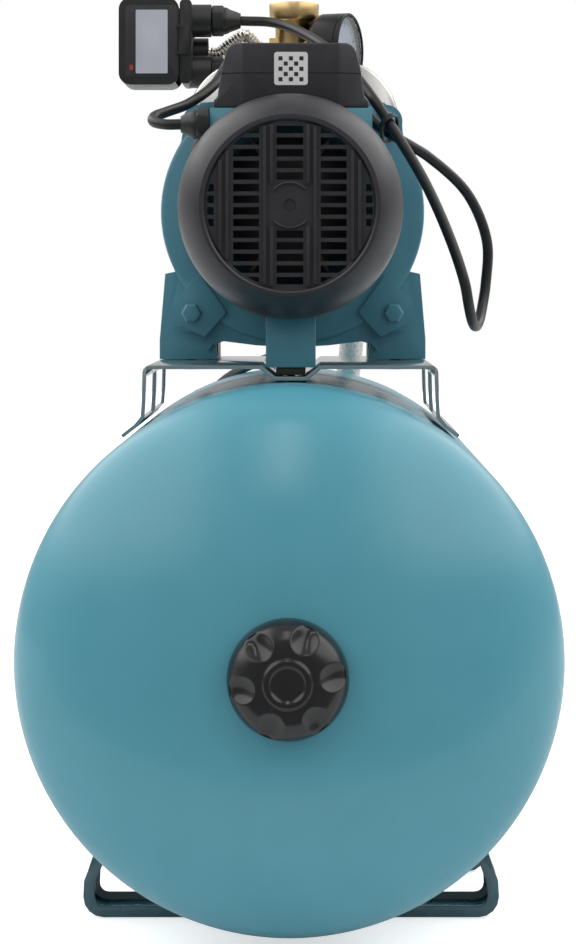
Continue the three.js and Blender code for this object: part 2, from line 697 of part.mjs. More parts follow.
const motorLead = () => tube([
  [-76.6, 103, SHAFT_Z + 58], [-87, 103.5, SHAFT_Z + 58], [-95, 110, SHAFT_Z + 60],
  [-96, 124, SHAFT_Z + 64.5], [-88, 140, SHAFT_Z + 69], [-73, 165, SHAFT_Z + 77],
  [-56, 190, SHAFT_Z + 92.5], [-45, 216, SHAFT_Z + 113.5], [-33, 240, SHAFT_Z + 121],
  [-22, 262, SHAFT_Z + 119], [-19, 282, SHAFT_Z + 112.5], [-28, 297, SHAFT_Z + 110],
  [-42.4, 300, SHAFT_Z + 109.8],
], CORD_R, 8, 18);

const hoseRoute = [
  [0, FITTING_Y + 22.6, PORT_Z], [0, 362, PORT_Z], [10, 398, 610], [30, 427, 580], [46, 440, 530],
  [50, 441, 470], [47, 438, 410], [44, 446, 372], [36, 474, 330], [18, 505, 286], [2, 523, 250],
  [0, 524, TANK_Z + 27.5],
];

const braidedHose = () => tube(hoseRoute, HOSE_R, 8, 22);

// Power cord: along the top of the pump, through the loop at the side, back behind the
// terminal box, down beside the motor, under the pump in the trough, and down to the floor.
const cordRoute = [
  [-40.4, 300, 639.8], [-14, 294.7, 637.6], [33, 214, 605.5], [52, 184, 581], [69.6, 151, 552.1],
  [94, 137, 510], [111.9, 128, 468.5], [121.3, 123.9, 439], [124.3, 128.4, 423.8],
  [127.4, 139.9, 412.4], [130.8, 155.5, 408.4], [134.2, 171.1, 412.4], [137.3, 182.6, 423.8],
  [139.8, 187.1, 439], [140.5, 185, 469.4], [126.2, 179, 503.4], [98, 164.5, 529],
  [85.5, 159, 536.5], [75.5, 158.2, 542.2], [67.4, 162, 547.5], [61.1, 169.8, 552.6],
  [54.5, 180.5, 560], [30, 193, 579.5], [0, 195.5, 590], [-60, 186, 552], [-75, 183, 511],
  [-73, 182.5, 472], [-61, 182, 447.5], [-41, 182, 428], [-18, 182, 417.5], [-3, 186, 404],
  [0, 200, 388], [0, 222, 381], [-22, 356, 380], [-68, 448, 349], [-83, 478, 300],
  [-77, 501.5, 125], [-51, 501.5, 74], [-49, 496.5, 53], [-49, 464, 27],
];

const CORD_STEPS = 78;
const cordRun = () => tube(cordRoute, CORD_R, 8, CORD_STEPS);

function cordCoil() {
  const half = 8;
  return ring(COIL.meanR - half, COIL.meanR + half, 0.2, COIL.height, 'z', [COIL.x, COIL.y, 0], 24);
}

const TIE = {
  at: [69.4, 156.1, 549.4],
  along: new THREE.Vector3(0.58, -0.55, -0.6),
  across: new THREE.Vector3(0.05, 0.79, -0.62),
};

/** A cable tie: a flat oval band around both strands of the loop. */
function cordTie() {
  const oval = (radius) => {
    const shape = new THREE.Shape();
    shape.absarc(5.2, 0, radius, -Math.PI / 2, Math.PI / 2);
    shape.absarc(-5.2, 0, radius, Math.PI / 2, 1.5 * Math.PI);
    return shape;
  };
  const outer = oval(7.6);
  outer.holes.push(oval(6.4));
  const body = new THREE.ExtrudeGeometry(outer, { depth: 3.6, curveSegments: 4, bevelEnabled: false });
  body.translate(0, 0, -1.8);
  const along = TIE.along.clone().normalize();
  const across = TIE.across.clone();
  across.addScaledVector(along, -across.dot(along)).normalize();
  const third = along.clone().cross(across);
  body.applyMatrix4(new THREE.Matrix4().makeBasis(across, third, along));
  return solid(body.translate(...TIE.at));
}

/** Two-pin plug lying on the floor behind the coil. */
function powerPlug() {
  const y = COIL.y + COIL.meanR;
  const axis = [4, y, 18.6];
  const sleeve = turned([[0, 0], [8, 0], [4.6, 26], [0, 26]], 'x', [0, 0, 0], 12)
    .rotate(0, 22, 0).rotate(0, 0, 180).translate(-32.5, y, 17.5);
  const shell = turned([[0, -39], [11, -39], [18, -30], [18.4, -8], [17, 0], [0, 0]], 'x', axis, 20);
  const pins = [-9.5, 9.5].map((dy) => rod(2.4, -2, 19, 'x', [4, y + dy, 18.6], 10));
  return join(shell, sleeve, ...pins);
}

// ---------------------------------------------------------------- assembly
add('tank_front_shell', tankFrontShell(), teal);
add('tank_rear_shell', tankRearShell(), teal);
add('membrane_bladder', membrane(), rubber);
add('rear_flange', rearFlange(), steel);
flangeBoltAngles.forEach((angle, i) => add(`flange_bolt_${i + 1}`, flangeBolt(angle), steel));
add('tank_elbow', tankElbow(), brass);
add('air_valve_stem', airValveStem(), brass);
add('air_valve_pin', airValvePin(), brass);
add('air_valve_cap', airValveCap(), blackPlastic);
add('front_foot', footStrip(FRONT_FOOT_Y), teal);
add('rear_foot', footStrip(REAR_FOOT_Y), teal);
add('pump_platform', pumpPlatform(), teal);

add('motor_frame', motorFrame(), castTeal);
add('stator', stator(), copper);
add('rotor_shaft', rotorShaft(), steel);
add('rotor_core', rotorCore(), steel);
add('rear_bearing', bearing(88, 17.5), steel);
add('front_bearing', bearing(200.5, 20), steel);
add('cooling_fan', coolingFan(), blackPlastic);
add('fan_cover', fanCover(), greyPlastic);
add('motor_foot', motorFoot(), castTeal);
add('foot_pad', footPad(), rubber);
add('foot_bolt', footBolt(), steel);
add('terminal_box', terminalBox(), greyPlastic);
add('capacitor', capacitor(), whitePlastic);

add('motor_bracket', motorBracket(), castTeal);
boltCorners.forEach((at, i) => add(`bracket_bolt_${i + 1}`, bracketBolt(at), castTeal));
[-1, 1].forEach((side, i) => add(`platform_bolt_${i + 1}`, platformBolt(side), steel));
add('pump_casing', pumpCasing(), stainless);
add('casing_seal', casingSeal(), rubber);
add('mechanical_seal', mechanicalSeal(), steel);
add('impeller', impeller(), brass);
add('diffuser', diffuser(), blackPlastic);
add('priming_plug', primingPlug(), brass);
add('drain_plug', drainPlug(), brass);

add('five_way_fitting', fiveWayFitting(), brass);
add('gauge_case', gaugeCase(), blackPlastic);
add('gauge_dial', gaugeDial(), whitePlastic);
add('gauge_needle', gaugeNeedle(), red);
add('gauge_lens', gaugeLens(), clear);
add('switch_cover', switchCover(), blackPlastic);
add('switch_base', switchBase(), blackPlastic);
add('switch_nipple', switchNipple(), nickel);
add('supply_gland', gland([-62.7, SWITCH_Y, BOSS_UPPER_Z], 1, 9), blackPlastic);
add('motor_gland', gland(motorGlandAt, -1, 7), blackPlastic);
add('motor_lead', motorLead(), rubber);
add('braided_hose', braidedHose(), steel);

add('cord_run', cordRun(), rubber);
add('cord_coil', cordCoil(), rubber);
add('cord_tie', cordTie(), blackPlastic);
add('power_plug', powerPlug(), rubber);

export default set;
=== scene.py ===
"""Looks of a booster set: jet pump and motor on a horizontal pressure tank.

Sizes are in millimetres in the set's own frame (y = 0 where the tank's dome meets its straight
part) and become metres in the row frame through P().
"""
import math

import bmesh
import bpy
from mathutils import Matrix, Vector


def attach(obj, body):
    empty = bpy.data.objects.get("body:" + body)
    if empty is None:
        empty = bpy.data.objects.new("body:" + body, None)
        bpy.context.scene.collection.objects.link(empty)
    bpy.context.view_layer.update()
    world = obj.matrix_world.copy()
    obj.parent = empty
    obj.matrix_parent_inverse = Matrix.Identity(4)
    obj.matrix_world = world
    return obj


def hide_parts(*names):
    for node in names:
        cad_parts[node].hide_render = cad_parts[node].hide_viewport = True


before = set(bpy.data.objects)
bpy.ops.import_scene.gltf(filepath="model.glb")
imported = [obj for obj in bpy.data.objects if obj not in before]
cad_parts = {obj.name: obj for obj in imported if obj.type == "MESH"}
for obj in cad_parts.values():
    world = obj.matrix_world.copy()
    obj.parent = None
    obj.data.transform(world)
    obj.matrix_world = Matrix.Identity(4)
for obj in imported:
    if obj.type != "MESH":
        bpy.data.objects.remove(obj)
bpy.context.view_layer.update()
scene = bpy.context.scene

MM = 0.001
MIDDLE_Y = 218.0

TANK_R = 180.0
TANK_Z = 192.0
TANK_LENGTH = 400.0
DOME_DEPTH = 80.0
SEAM_Y = 256.0
SHAFT_Z = 491.0
PLATE_Z = 383.5
FITTING_Y = 320.0
PORT_Z = 618.0
GAUGE_TURN = math.radians(-22)
COIL = Vector((-90.0, 465.0, 0.0))
COIL_R = 41.0
CORD_D = 7.5
CORNER_X = 68.0
LOW_CORNER = 73.5
CAP_R = 38.3
DIMPLES = 6
DIMPLE_R = 8.8
DIMPLE_AT = 28.6
GRILLE_R = 55.5
SLOT_PITCH = 7.73

ROOM_FRONT = 0.38
ROOM_BACK = 0.7
SIDE_BOXES = 2.1
FLOOR_GLOW = 0.6
LAMP = 5
WARM = (1.0, 0.95, 0.87)


def P(x, y, z):
    """A point of the set, in metres in the row frame."""
    return Vector((x, y - MIDDLE_Y, z)) * MM


# ---------------------------------------------------------------- camera
def make_camera():
    data = bpy.data.cameras.new("camera")
    data.lens = 102.55
    data.clip_start = 0.01
    data.shift_x = -0.0339
    data.shift_y = -0.1992
    camera = bpy.data.objects.new("camera", data)
    scene.collection.objects.link(camera)
    camera.location = (0.020, -1.975, 0.4386)
    camera.rotation_euler = (math.radians(90), 0, 0)
    scene.camera = camera


make_camera()


# ---------------------------------------------------------------- materials
def shader(name, colour, roughness, metallic=0.0, coat=0.0, coat_roughness=0.05, ior=1.5):
    """A new material with a Principled shader; colour is linear RGB."""
    material = bpy.data.materials.new(name)
    material.use_nodes = True
    node = material.node_tree.nodes["Principled BSDF"]
    node.inputs["Base Color"].default_value = (*colour, 1)
    node.inputs["Roughness"].default_value = roughness
    node.inputs["Metallic"].default_value = metallic
    node.inputs["Coat Weight"].default_value = coat
    node.inputs["Coat Roughness"].default_value = coat_roughness
    node.inputs["IOR"].default_value = ior
    return material, node


def add_node(tree, kind, *links, **values):
    """A node with its properties set and its sockets linked, or given a value."""
    made = tree.nodes.new(kind)
    for name, value in values.items():
        setattr(made, name, value)
    for socket, source in links:
        if hasattr(source, "is_output"):
            tree.links.new(source, made.inputs[socket])
        else:
            made.inputs[socket].default_value = source
    return made


def operate(tree, operation, *values):
    """The value of a math node."""
    made = add_node(tree, "ShaderNodeMath", *enumerate(values), operation=operation)
    return made.outputs["Value"]


def noise(material, scale, detail=3.0, stretch=(1, 1, 1)):
    """A noise texture that rides with the piece, in features per metre."""
    tree = material.node_tree
    place = add_node(tree, "ShaderNodeTexCoord").outputs["Object"]
    mapping = add_node(tree, "ShaderNodeMapping", ("Vector", place), ("Scale", stretch))
    texture = add_node(tree, "ShaderNodeTexNoise", ("Vector", mapping.outputs["Vector"]),
                       ("Scale", scale), ("Detail", detail))
    return texture.outputs["Fac"]


def spread(material, value, low, high, edge0=0.3, edge1=0.7):
    """A value in 0 to 1 spread between low and high."""
    node = add_node(material.node_tree, "ShaderNodeMapRange", ("Value", value),
                    ("From Min", edge0), ("From Max", edge1), ("To Min", low), ("To Max", high))
    return node.outputs["Result"]


def tint(material, node, value, first, second):
    """The base colour runs between two colours."""
    mix = add_node(material.node_tree, "ShaderNodeMix", (0, value), (6, (*first, 1)),
                   (7, (*second, 1)), data_type="RGBA")
    material.node_tree.links.new(mix.outputs[2], node.inputs["Base Color"])


def bump(material, node, height, strength, distance):
    """Relief from a height; distance in metres."""
    relief = add_node(material.node_tree, "ShaderNodeBump", ("Strength", strength),
                      ("Distance", distance), ("Height", height))
    material.node_tree.links.new(relief.outputs["Normal"], node.inputs["Normal"])


def rough(material, node, value, low, high):
    result = spread(material, value, low, high)
    material.node_tree.links.new(result, node.inputs["Roughness"])


def finish(name, first, second, roughness, scale, relief, metallic=0.0, coat=0.0,
           coat_roughness=0.05, stretch=(1, 1, 1), ior=1.5):
    """A surface that varies softly in colour and roughness and has a fine relief."""
    material, node = shader(name, first, roughness[0], metallic, coat, coat_roughness, ior)
    broad = noise(material, scale / 12, 2.0)
    fine = noise(material, scale, 3.0, stretch)
    tint(material, node, spread(material, broad, 0, 1), first, second)
    rough(material, node, broad, *roughness)
    bump(material, node, fine, relief[0], relief[1])
    return material


TANK_PAINT = finish("tank_paint", (0.082, 0.318, 0.405), (0.09, 0.332, 0.422), (0.22, 0.26), 260,
                    (0.05, 0.0003))
FOOT_PAINT = finish("foot_paint", (0.018, 0.075, 0.1), (0.026, 0.095, 0.12), (0.22, 0.3), 300,
                    (0.08, 0.0003), coat=0.8)
SHEET_PAINT = finish("platform_paint", (0.3, 0.38, 0.41), (0.35, 0.43, 0.45), (0.2, 0.28), 300,
                     (0.06, 0.0003), metallic=0.85, coat=1.0, coat_roughness=0.05)
CAST_PAINT = finish("cast_paint", (0.06, 0.225, 0.3), (0.07, 0.25, 0.325), (0.4, 0.52), 420,
                    (0.25, 0.0006), coat=0.25, coat_roughness=0.3)
ZINC = finish("zinc_steel", (0.5, 0.5, 0.5), (0.62, 0.61, 0.6), (0.28, 0.42), 500,
              (0.15, 0.0002), metallic=1.0)
MACHINED = finish("machined_steel", (0.45, 0.45, 0.46), (0.55, 0.55, 0.56), (0.22, 0.34), 700,
                  (0.2, 0.0002), metallic=1.0, stretch=(1, 6, 1))
STAINLESS = finish("stainless", (0.62, 0.61, 0.59), (0.7, 0.69, 0.67), (0.2, 0.3), 160,
                   (0.12, 0.0002), metallic=1.0, stretch=(8, 0.6, 8))
BRASS = finish("brass", (0.58, 0.4, 0.17), (0.68, 0.5, 0.25), (0.24, 0.38), 500,
               (0.2, 0.0002), metallic=1.0)
NICKEL = finish("nickel", (0.66, 0.63, 0.58), (0.76, 0.73, 0.69), (0.16, 0.26), 500,
                (0.1, 0.0002), metallic=1.0)
COPPER = finish("copper_winding", (0.5, 0.19, 0.08), (0.6, 0.26, 0.12), (0.3, 0.4), 600,
                (0.4, 0.0004), metallic=0.8)
CAP_PLASTIC = finish("cap_plastic", (0.008, 0.008, 0.009), (0.012, 0.012, 0.013), (0.16, 0.24), 500,
                     (0.06, 0.0002))
BLACK_PLASTIC = finish("black_plastic", (0.011, 0.012, 0.013), (0.016, 0.017, 0.018), (0.36, 0.46),
                       900, (0.15, 0.0002))
GREY_PLASTIC = finish("grey_plastic", (0.019, 0.019, 0.023), (0.024, 0.024, 0.029), (0.36, 0.44),
                      1100, (0.22, 0.0002))
GAUGE_BLACK = finish("gauge_black", (0.003, 0.003, 0.003), (0.004, 0.004, 0.004), (0.2, 0.28),
                     500, (0.05, 0.0002), ior=1.3)
RUBBER = finish("cable_rubber", (0.008, 0.008, 0.009), (0.013, 0.013, 0.014), (0.34, 0.46), 900,
                (0.1, 0.0002))
SOFT_RUBBER = finish("soft_rubber", (0.01, 0.01, 0.01), (0.018, 0.018, 0.018), (0.6, 0.75), 900,
                     (0.3, 0.0003))
WHITE_PLASTIC = finish("capacitor_white", (0.6, 0.6, 0.6), (0.68, 0.68, 0.68), (0.4, 0.5), 700,
                       (0.1, 0.0002))
DIAL_WHITE = finish("dial_white", (0.62, 0.66, 0.78), (0.68, 0.72, 0.84), (0.4, 0.5), 300,
                    (0.02, 0.0001))
LABEL = finish("label_paper", (0.47, 0.48, 0.56), (0.55, 0.56, 0.63), (0.35, 0.5), 500,
               (0.04, 0.0001))
INK = finish("ink", (0.012, 0.012, 0.014), (0.02, 0.02, 0.022), (0.4, 0.5), 500, (0.02, 0.0001))
RED = finish("red_mark", (0.3, 0.045, 0.025), (0.36, 0.06, 0.035), (0.4, 0.5), 500, (0.05, 0.0001))
STICKER = finish("sticker", (0.7, 0.7, 0.7), (0.76, 0.76, 0.76), (0.3, 0.4), 400, (0.02, 0.0001))


def glass_material():
    material, node = shader("gauge_glass", (0.95, 0.97, 1.0), 0.03)
    node.inputs["Transmission Weight"].default_value = 1.0
    return material


GLASS = glass_material()


def braid_material():
    """Pale strands both ways around the hose, darkened in the grooves of the weave as painted shade,
    with small dark specks where they cross.
    """
    material, node = shader("steel_braid", (0.6, 0.59, 0.57), 0.35, metallic=0.5)
    tree = material.node_tree
    uv = add_node(tree, "ShaderNodeUVMap", uv_map="along").outputs["UV"]
    split = add_node(tree, "ShaderNodeSeparateXYZ", ("Vector", uv))
    around = operate(tree, "MULTIPLY", split.outputs["X"], 2 * math.pi * 10)
    along = operate(tree, "MULTIPLY", split.outputs["Y"], 900)
    one_way = operate(tree, "SINE", operate(tree, "ADD", around, along))
    other_way = operate(tree, "SINE", operate(tree, "SUBTRACT", around, along))
    weave = operate(tree, "ABSOLUTE", operate(tree, "MAXIMUM", one_way, other_way))
    marker = operate(tree, "GREATER_THAN", operate(tree, "MULTIPLY", one_way, other_way), 0.9)
    # painted shade: the strands' colour is darker where the weave's relief is low, in the grooves
    # between them
    strands = operate(tree, "ADD", 0.75, operate(tree, "MULTIPLY", weave, 0.25))
    shade = operate(tree, "MULTIPLY", operate(tree, "SUBTRACT", 1.0, marker), strands)
    tint(material, node, shade, (0.02, 0.02, 0.02), (0.72, 0.7, 0.67))
    bump(material, node, weave, 0.5, 0.0006)
    return material


BRAID = braid_material()


# ---------------------------------------------------------------- building blocks
def new_piece(name, bm):
    """A new object in the scene from a bmesh, which is used up."""
    mesh = bpy.data.meshes.new(name)
    bm.to_mesh(mesh)
    bm.free()
    piece = bpy.data.objects.new(name, mesh)
    scene.collection.objects.link(piece)
    return piece


def from_bmesh(name, bm):
    """A closed piece: shared corners are merged and the faces point outwards."""
    bmesh.ops.remove_doubles(bm, verts=bm.verts, dist=2e-6)
    bmesh.ops.recalc_face_normals(bm, faces=bm.faces)
    return new_piece(name, bm)


def basis(axis):
    """Two directions square to an axis: upwards where that can be, and sideways."""
    along = Vector(axis).normalized()
    up = Vector((0, 0, 1)) if abs(along.z) < 0.9 else Vector((1, 0, 0))
    up = (up - along * up.dot(along)).normalized()
    return along, up, along.cross(up)


def lathe(name, profile, axis, centre, segments=96, turn=0.0):
    """A closed solid of revolution; the profile lists (radius, distance along the axis)."""
    along, up, side = basis(axis)
    middle = P(*centre)
    bm = bmesh.new()
    rings = []
    for radius, distance in profile:
        ring = []
        for i in range(segments):
            angle = turn + 2 * math.pi * i / segments
            out = up * math.cos(angle) + side * math.sin(angle)
            ring.append(bm.verts.new(middle + (along * distance + out * radius) * MM))
        rings.append(ring)
    for first, second in zip(rings, rings[1:] + rings[:1]):
        for i in range(segments):
            j = (i + 1) % segments
            bm.faces.new((first[i], first[j], second[j], second[i]))
    return from_bmesh(name, bm)


def rod(name, radius, start, end, axis, centre, segments=64):
    profile = [(0, start), (radius, start), (radius, end), (0, end)]
    return lathe(name, profile, axis, centre, segments)


def prism(name, outline, y0, y1):
    """A flat outline in X and Z pushed from y0 to y1."""
    bm = bmesh.new()
    front = [bm.verts.new(P(x, y0, z)) for x, z in outline]
    back = [bm.verts.new(P(x, y1, z)) for x, z in outline]
    bm.faces.new(front)
    bm.faces.new(back[::-1])
    for i in range(len(outline)):
        j = (i + 1) % len(outline)
        bm.faces.new((front[i], back[i], back[j], front[j]))
    return from_bmesh(name, bm)


def bar(name, low, high):
    (x0, y0, z0), (x1, y1, z1) = low, high
    return prism(name, [(x0, z0), (x1, z0), (x1, z1), (x0, z1)], y0, y1)


def arc(x, z, radius, start, end, steps):
    """Points (x, z) on an arc; the angles are in degrees."""
    angles = [math.radians(start + (end - start) * i / steps) for i in range(steps + 1)]
    return [(x + radius * math.cos(a), z + radius * math.sin(a)) for a in angles]


def rounded(x0, z0, x1, z1, radius, steps=6):
    return (arc(x1 - radius, z1 - radius, radius, 0, 90, steps)
            + arc(x0 + radius, z1 - radius, radius, 90, 180, steps)
            + arc(x0 + radius, z0 + radius, radius, 180, 270, steps)
            + arc(x1 - radius, z0 + radius, radius, 270, 360, steps))


def settle(piece):
    """Applies a piece's modifiers to its mesh."""
    graph = bpy.context.evaluated_depsgraph_get()
    mesh = bpy.data.meshes.new_from_object(piece.evaluated_get(graph))
    piece.modifiers.clear()
    piece.data = mesh
    return piece


def joined(name, pieces):
    """Several separate meshes in one object."""
    bm = bmesh.new()
    for piece in pieces:
        bm.from_mesh(piece.data)
        bpy.data.objects.remove(piece)
    return new_piece(name, bm)


def combine(piece, others, operation):
    for other in others:
        modifier = piece.modifiers.new("combine", "BOOLEAN")
        modifier.operation = operation
        modifier.solver = "EXACT"
        modifier.object = other
    settle(piece)
    for other in others:
        bpy.data.objects.remove(other)
    return piece


def shade(piece, angle=35):
    for polygon in piece.data.polygons:
        polygon.use_smooth = True
    piece.data.set_sharp_from_angle(angle=math.radians(angle))
    return piece


def soften(piece, width=0.4, segments=2, angle=32, smooth=38):
    """Rounds the sharp edges, as on any moulded, cast or pressed part."""
    bm = bmesh.new()
    bm.from_mesh(piece.data)
    bmesh.ops.remove_doubles(bm, verts=bm.verts, dist=2e-6)
    bmesh.ops.dissolve_limit(bm, angle_limit=math.radians(1), verts=bm.verts, edges=bm.edges)
    bm.to_mesh(piece.data)
    bm.free()
    modifier = piece.modifiers.new("edges", "BEVEL")
    modifier.width = width * MM
    modifier.segments = segments
    modifier.limit_method = "ANGLE"
    modifier.angle_limit = math.radians(angle)
    modifier.use_clamp_overlap = True
    settle(piece)
    return shade(piece, smooth)


def place(piece, material, slot, body="set", nodes=()):
    """Paints a piece, and lets it ride on a body in the place of CAD nodes."""
    piece.data.materials.clear()
    piece.data.materials.append(material)
    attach(piece, body)
    if nodes:
        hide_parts(*nodes)
    return piece


def rounded_copy(node, width, material, slot, body="set", angle=32):
    """A CAD piece with its sharp edges rounded."""
    piece = bpy.data.objects.new(node + "_skin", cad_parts[node].data.copy())
    scene.collection.objects.link(piece)
    soften(piece, width, 2, angle)
    return place(piece, material, slot, body, [node])


# ---------------------------------------------------------------- curves
def smooth_spline(data, points):
    """A Bezier spline along a centripetal Catmull-Rom curve through points in metres."""
    spline = data.splines.new("BEZIER")
    spline.bezier_points.add(len(points) - 1)
    ends = [points[0] * 2 - points[1], *points, points[-1] * 2 - points[-2]]
    for i, knot in enumerate(spline.bezier_points):
        before, here, after = ends[i], ends[i + 1], ends[i + 2]
        gap0 = max((here - before).length, 1e-6) ** 0.5
        gap1 = max((after - here).length, 1e-6) ** 0.5
        pull = ((here - before) / gap0 - (after - before) / (gap0 + gap1)
                + (after - here) / gap1)
        knot.handle_left_type = "FREE"
        knot.handle_right_type = "FREE"
        knot.co = here
        knot.handle_left = here - pull * gap0 / 3
        knot.handle_right = here + pull * gap1 / 3
    return spline


def cable(name, points, diameter, resolution=10):
    """A round cable as a curve with a thickness; points are in metres."""
    data = bpy.data.curves.new(name, "CURVE")
    data.dimensions = "3D"
    data.resolution_u = resolution
    data.bevel_depth = diameter * MM / 2
    data.bevel_resolution = 5
    data.use_fill_caps = True
    smooth_spline(data, points)
    piece = bpy.data.objects.new(name, data)
    scene.collection.objects.link(piece)
    return piece


def line_along(points, steps):
    """Even samples on the smooth curve through points, with the direction at each."""
    data = bpy.data.curves.new("line", "CURVE")
    data.dimensions = "3D"
    data.resolution_u = 24
    smooth_spline(data, points)
    holder = bpy.data.objects.new("line", data)
    mesh = holder.to_mesh()
    dense = [v.co.copy() for v in mesh.vertices]
    holder.to_mesh_clear()
    bpy.data.objects.remove(holder)
    distance = [0.0]
    for a, b in zip(dense, dense[1:]):
        distance.append(distance[-1] + (b - a).length)
    samples = []
    k = 0
    for i in range(steps + 1):
        target = distance[-1] * i / steps
        while k < len(dense) - 2 and distance[k + 1] < target:
            k += 1
        share = (target - distance[k]) / max(distance[k + 1] - distance[k], 1e-9)
        samples.append(dense[k].lerp(dense[k + 1], min(max(share, 0), 1)))
    return samples, distance[-1]


def tube(name, points, radius_at, steps, sides=32):
    """A mesh tube along a smooth curve, with its length and turn stored as a UV map."""
    line, length = line_along(points, steps)
    bm = bmesh.new()
    uv = bm.loops.layers.uv.new("along")
    rings = []
    up = None
    for i, point in enumerate(line):
        direction = (line[min(i + 1, steps)] - line[max(i - 1, 0)]).normalized()
        if up is None:
            up = basis(direction)[1]
        up = (up - direction * up.dot(direction)).normalized()
        side = direction.cross(up)
        radius = radius_at(length * i / steps / MM, length / MM) * MM
        rings.append([bm.verts.new(point + (up * math.cos(a) + side * math.sin(a)) * radius)
                      for a in (2 * math.pi * k / sides for k in range(sides))])
    for i in range(steps):
        for k in range(sides):
            n = (k + 1) % sides
            face = bm.faces.new((rings[i][k], rings[i][n], rings[i + 1][n], rings[i + 1][k]))
            for loop, (u, v) in zip(face.loops, ((k, i), (k + 1, i), (k + 1, i + 1), (k, i + 1))):
                loop[uv].uv = (u / sides, v / steps * length)
    bm.faces.new(rings[0][::-1])
    bm.faces.new(rings[-1])
    bmesh.ops.recalc_face_normals(bm, faces=bm.faces)
    return shade(new_piece(name, bm), 50)


# ---------------------------------------------------------------- power cord
CORD_ROUTE = [
    (-40.4, 300, 639.8), (-14, 294.7, 637.6), (33, 214, 605.5), (52, 184, 581), (69.6, 151, 552.1),
    (94, 137, 510), (111.9, 128, 468.5), (121.3, 123.9, 439), (124.3, 128.4, 423.8),
    (127.4, 139.9, 412.4), (130.8, 155.5, 408.4), (134.2, 171.1, 412.4), (137.3, 182.6, 423.8),
    (139.8, 187.1, 439), (140.5, 185, 469.4), (126.2, 179, 503.4), (98, 164.5, 529),
    (85.5, 159, 536.5), (75.5, 158.2, 542.2), (67.4, 162, 547.5), (61.1, 169.8, 552.6),
    (54.5, 180.5, 560), (30, 193, 579.5), (0, 195.5, 590), (-60, 186, 552), (-75, 183, 511),
    (-73, 182.5, 472), (-61, 182, 447.5), (-41, 182, 428), (-18, 182, 417.5), (-3, 186, 404),
    (0, 200, 388), (0, 222, 381), (-22, 356, 380), (-68, 448, 349), (-83, 478, 300),
    (-77, 501.5, 125), (-51, 501.5, 74), (-49, 496.5, 53), (-49, 464, 27),
]
COIL_TURNS = 2.75
POINTS_PER_TURN = 16


def coil_points():
    """Down from the end of the route onto the floor, turn under turn."""
    points = []
    count = round(COIL_TURNS * POINTS_PER_TURN)
    for i in range(1, count + 1):
        angle = -2 * math.pi * i / POINTS_PER_TURN
        share = i / count
        radius = COIL_R + 1.6 * math.sin(angle * 0.73) * math.sin(math.pi * share)
        height = 27 - 22.9 * min(share * 1.04, 1)
        points.append(P(COIL.x + radius * math.cos(angle), COIL.y + radius * math.sin(angle),
                        height))
    return points


def power_cord():
    sleeve_tip = P(-58.4, 506, 7.6)
    run = [P(*p) for p in CORD_ROUTE] + coil_points()
    run += [P(-78, 506, 4.1), P(-68, 506, 4.9), sleeve_tip]
    cord = cable("power_cord", run, CORD_D)
    place(cord, RUBBER, "cable_rubber", "set", ["cord_run", "cord_coil"])
    return cord


def plug():
    """Moulded two-pin plug with a ribbed, tapered sleeve where the cord goes in."""
    y = COIL.y + COIL_R
    shell = lathe("power_plug_body", [
        (0, -39), (9, -39), (11.4, -38), (16.6, -31), (17.9, -27), (18.3, -18), (18.1, -8),
        (17, -1.2), (15.8, 0), (0, 0)], (1, 0, 0), (4, y, 18.6), 64)
    soften(shell, 0.5)
    tilt = Vector((-math.cos(math.radians(22)), 0, -math.sin(math.radians(22))))
    profile = [(0, 0), (8, 0)]
    for i in range(6):
        start = 2 + 4 * i
        radius = 7.7 - 0.55 * i
        profile += [(radius, start), (radius, start + 2.4), (radius - 1.3, start + 2.8),
                    (radius - 1.3, start + 3.9)]
    profile += [(4.4, 25.9), (0, 25.9)]
    sleeve = shade(lathe("power_plug_sleeve", profile, tilt, (-32.5, y, 17.5), 32), 30)
    pins = joined("power_plug_pins", [
        lathe("pin", [(0, -1), (2.4, -1), (2.4, 16.6), (1.6, 19), (0, 19)], (1, 0, 0),
              (4, y + dy, 18.6), 24) for dy in (-9.5, 9.5)])
    shade(pins)
    place(shell, RUBBER, "cable_rubber", "set", ["power_plug"])
    place(sleeve, RUBBER, "cable_rubber")
    place(pins, NICKEL, "nickel")
    return [shell, sleeve, pins]


CORD = power_cord()
PLUG_PIECES = plug()
TIE = rounded_copy("cord_tie", 0.3, BLACK_PLASTIC, "black_plastic")


# ---------------------------------------------------------------- pressure tank
ON_TANK = (0, 0, TANK_Z)
ALONG = (0, 1, 0)
UP = (0, 0, 1)


def dome(radius, depth, hole, steps=22):
    """(radius, depth) from the hole out to the rim of an elliptic dome."""
    first = math.asin(hole / radius)
    angles = [first + (math.pi / 2 - first) * i / steps for i in range(steps + 1)]
    return [(radius * math.sin(a), depth * math.cos(a)) for a in angles]


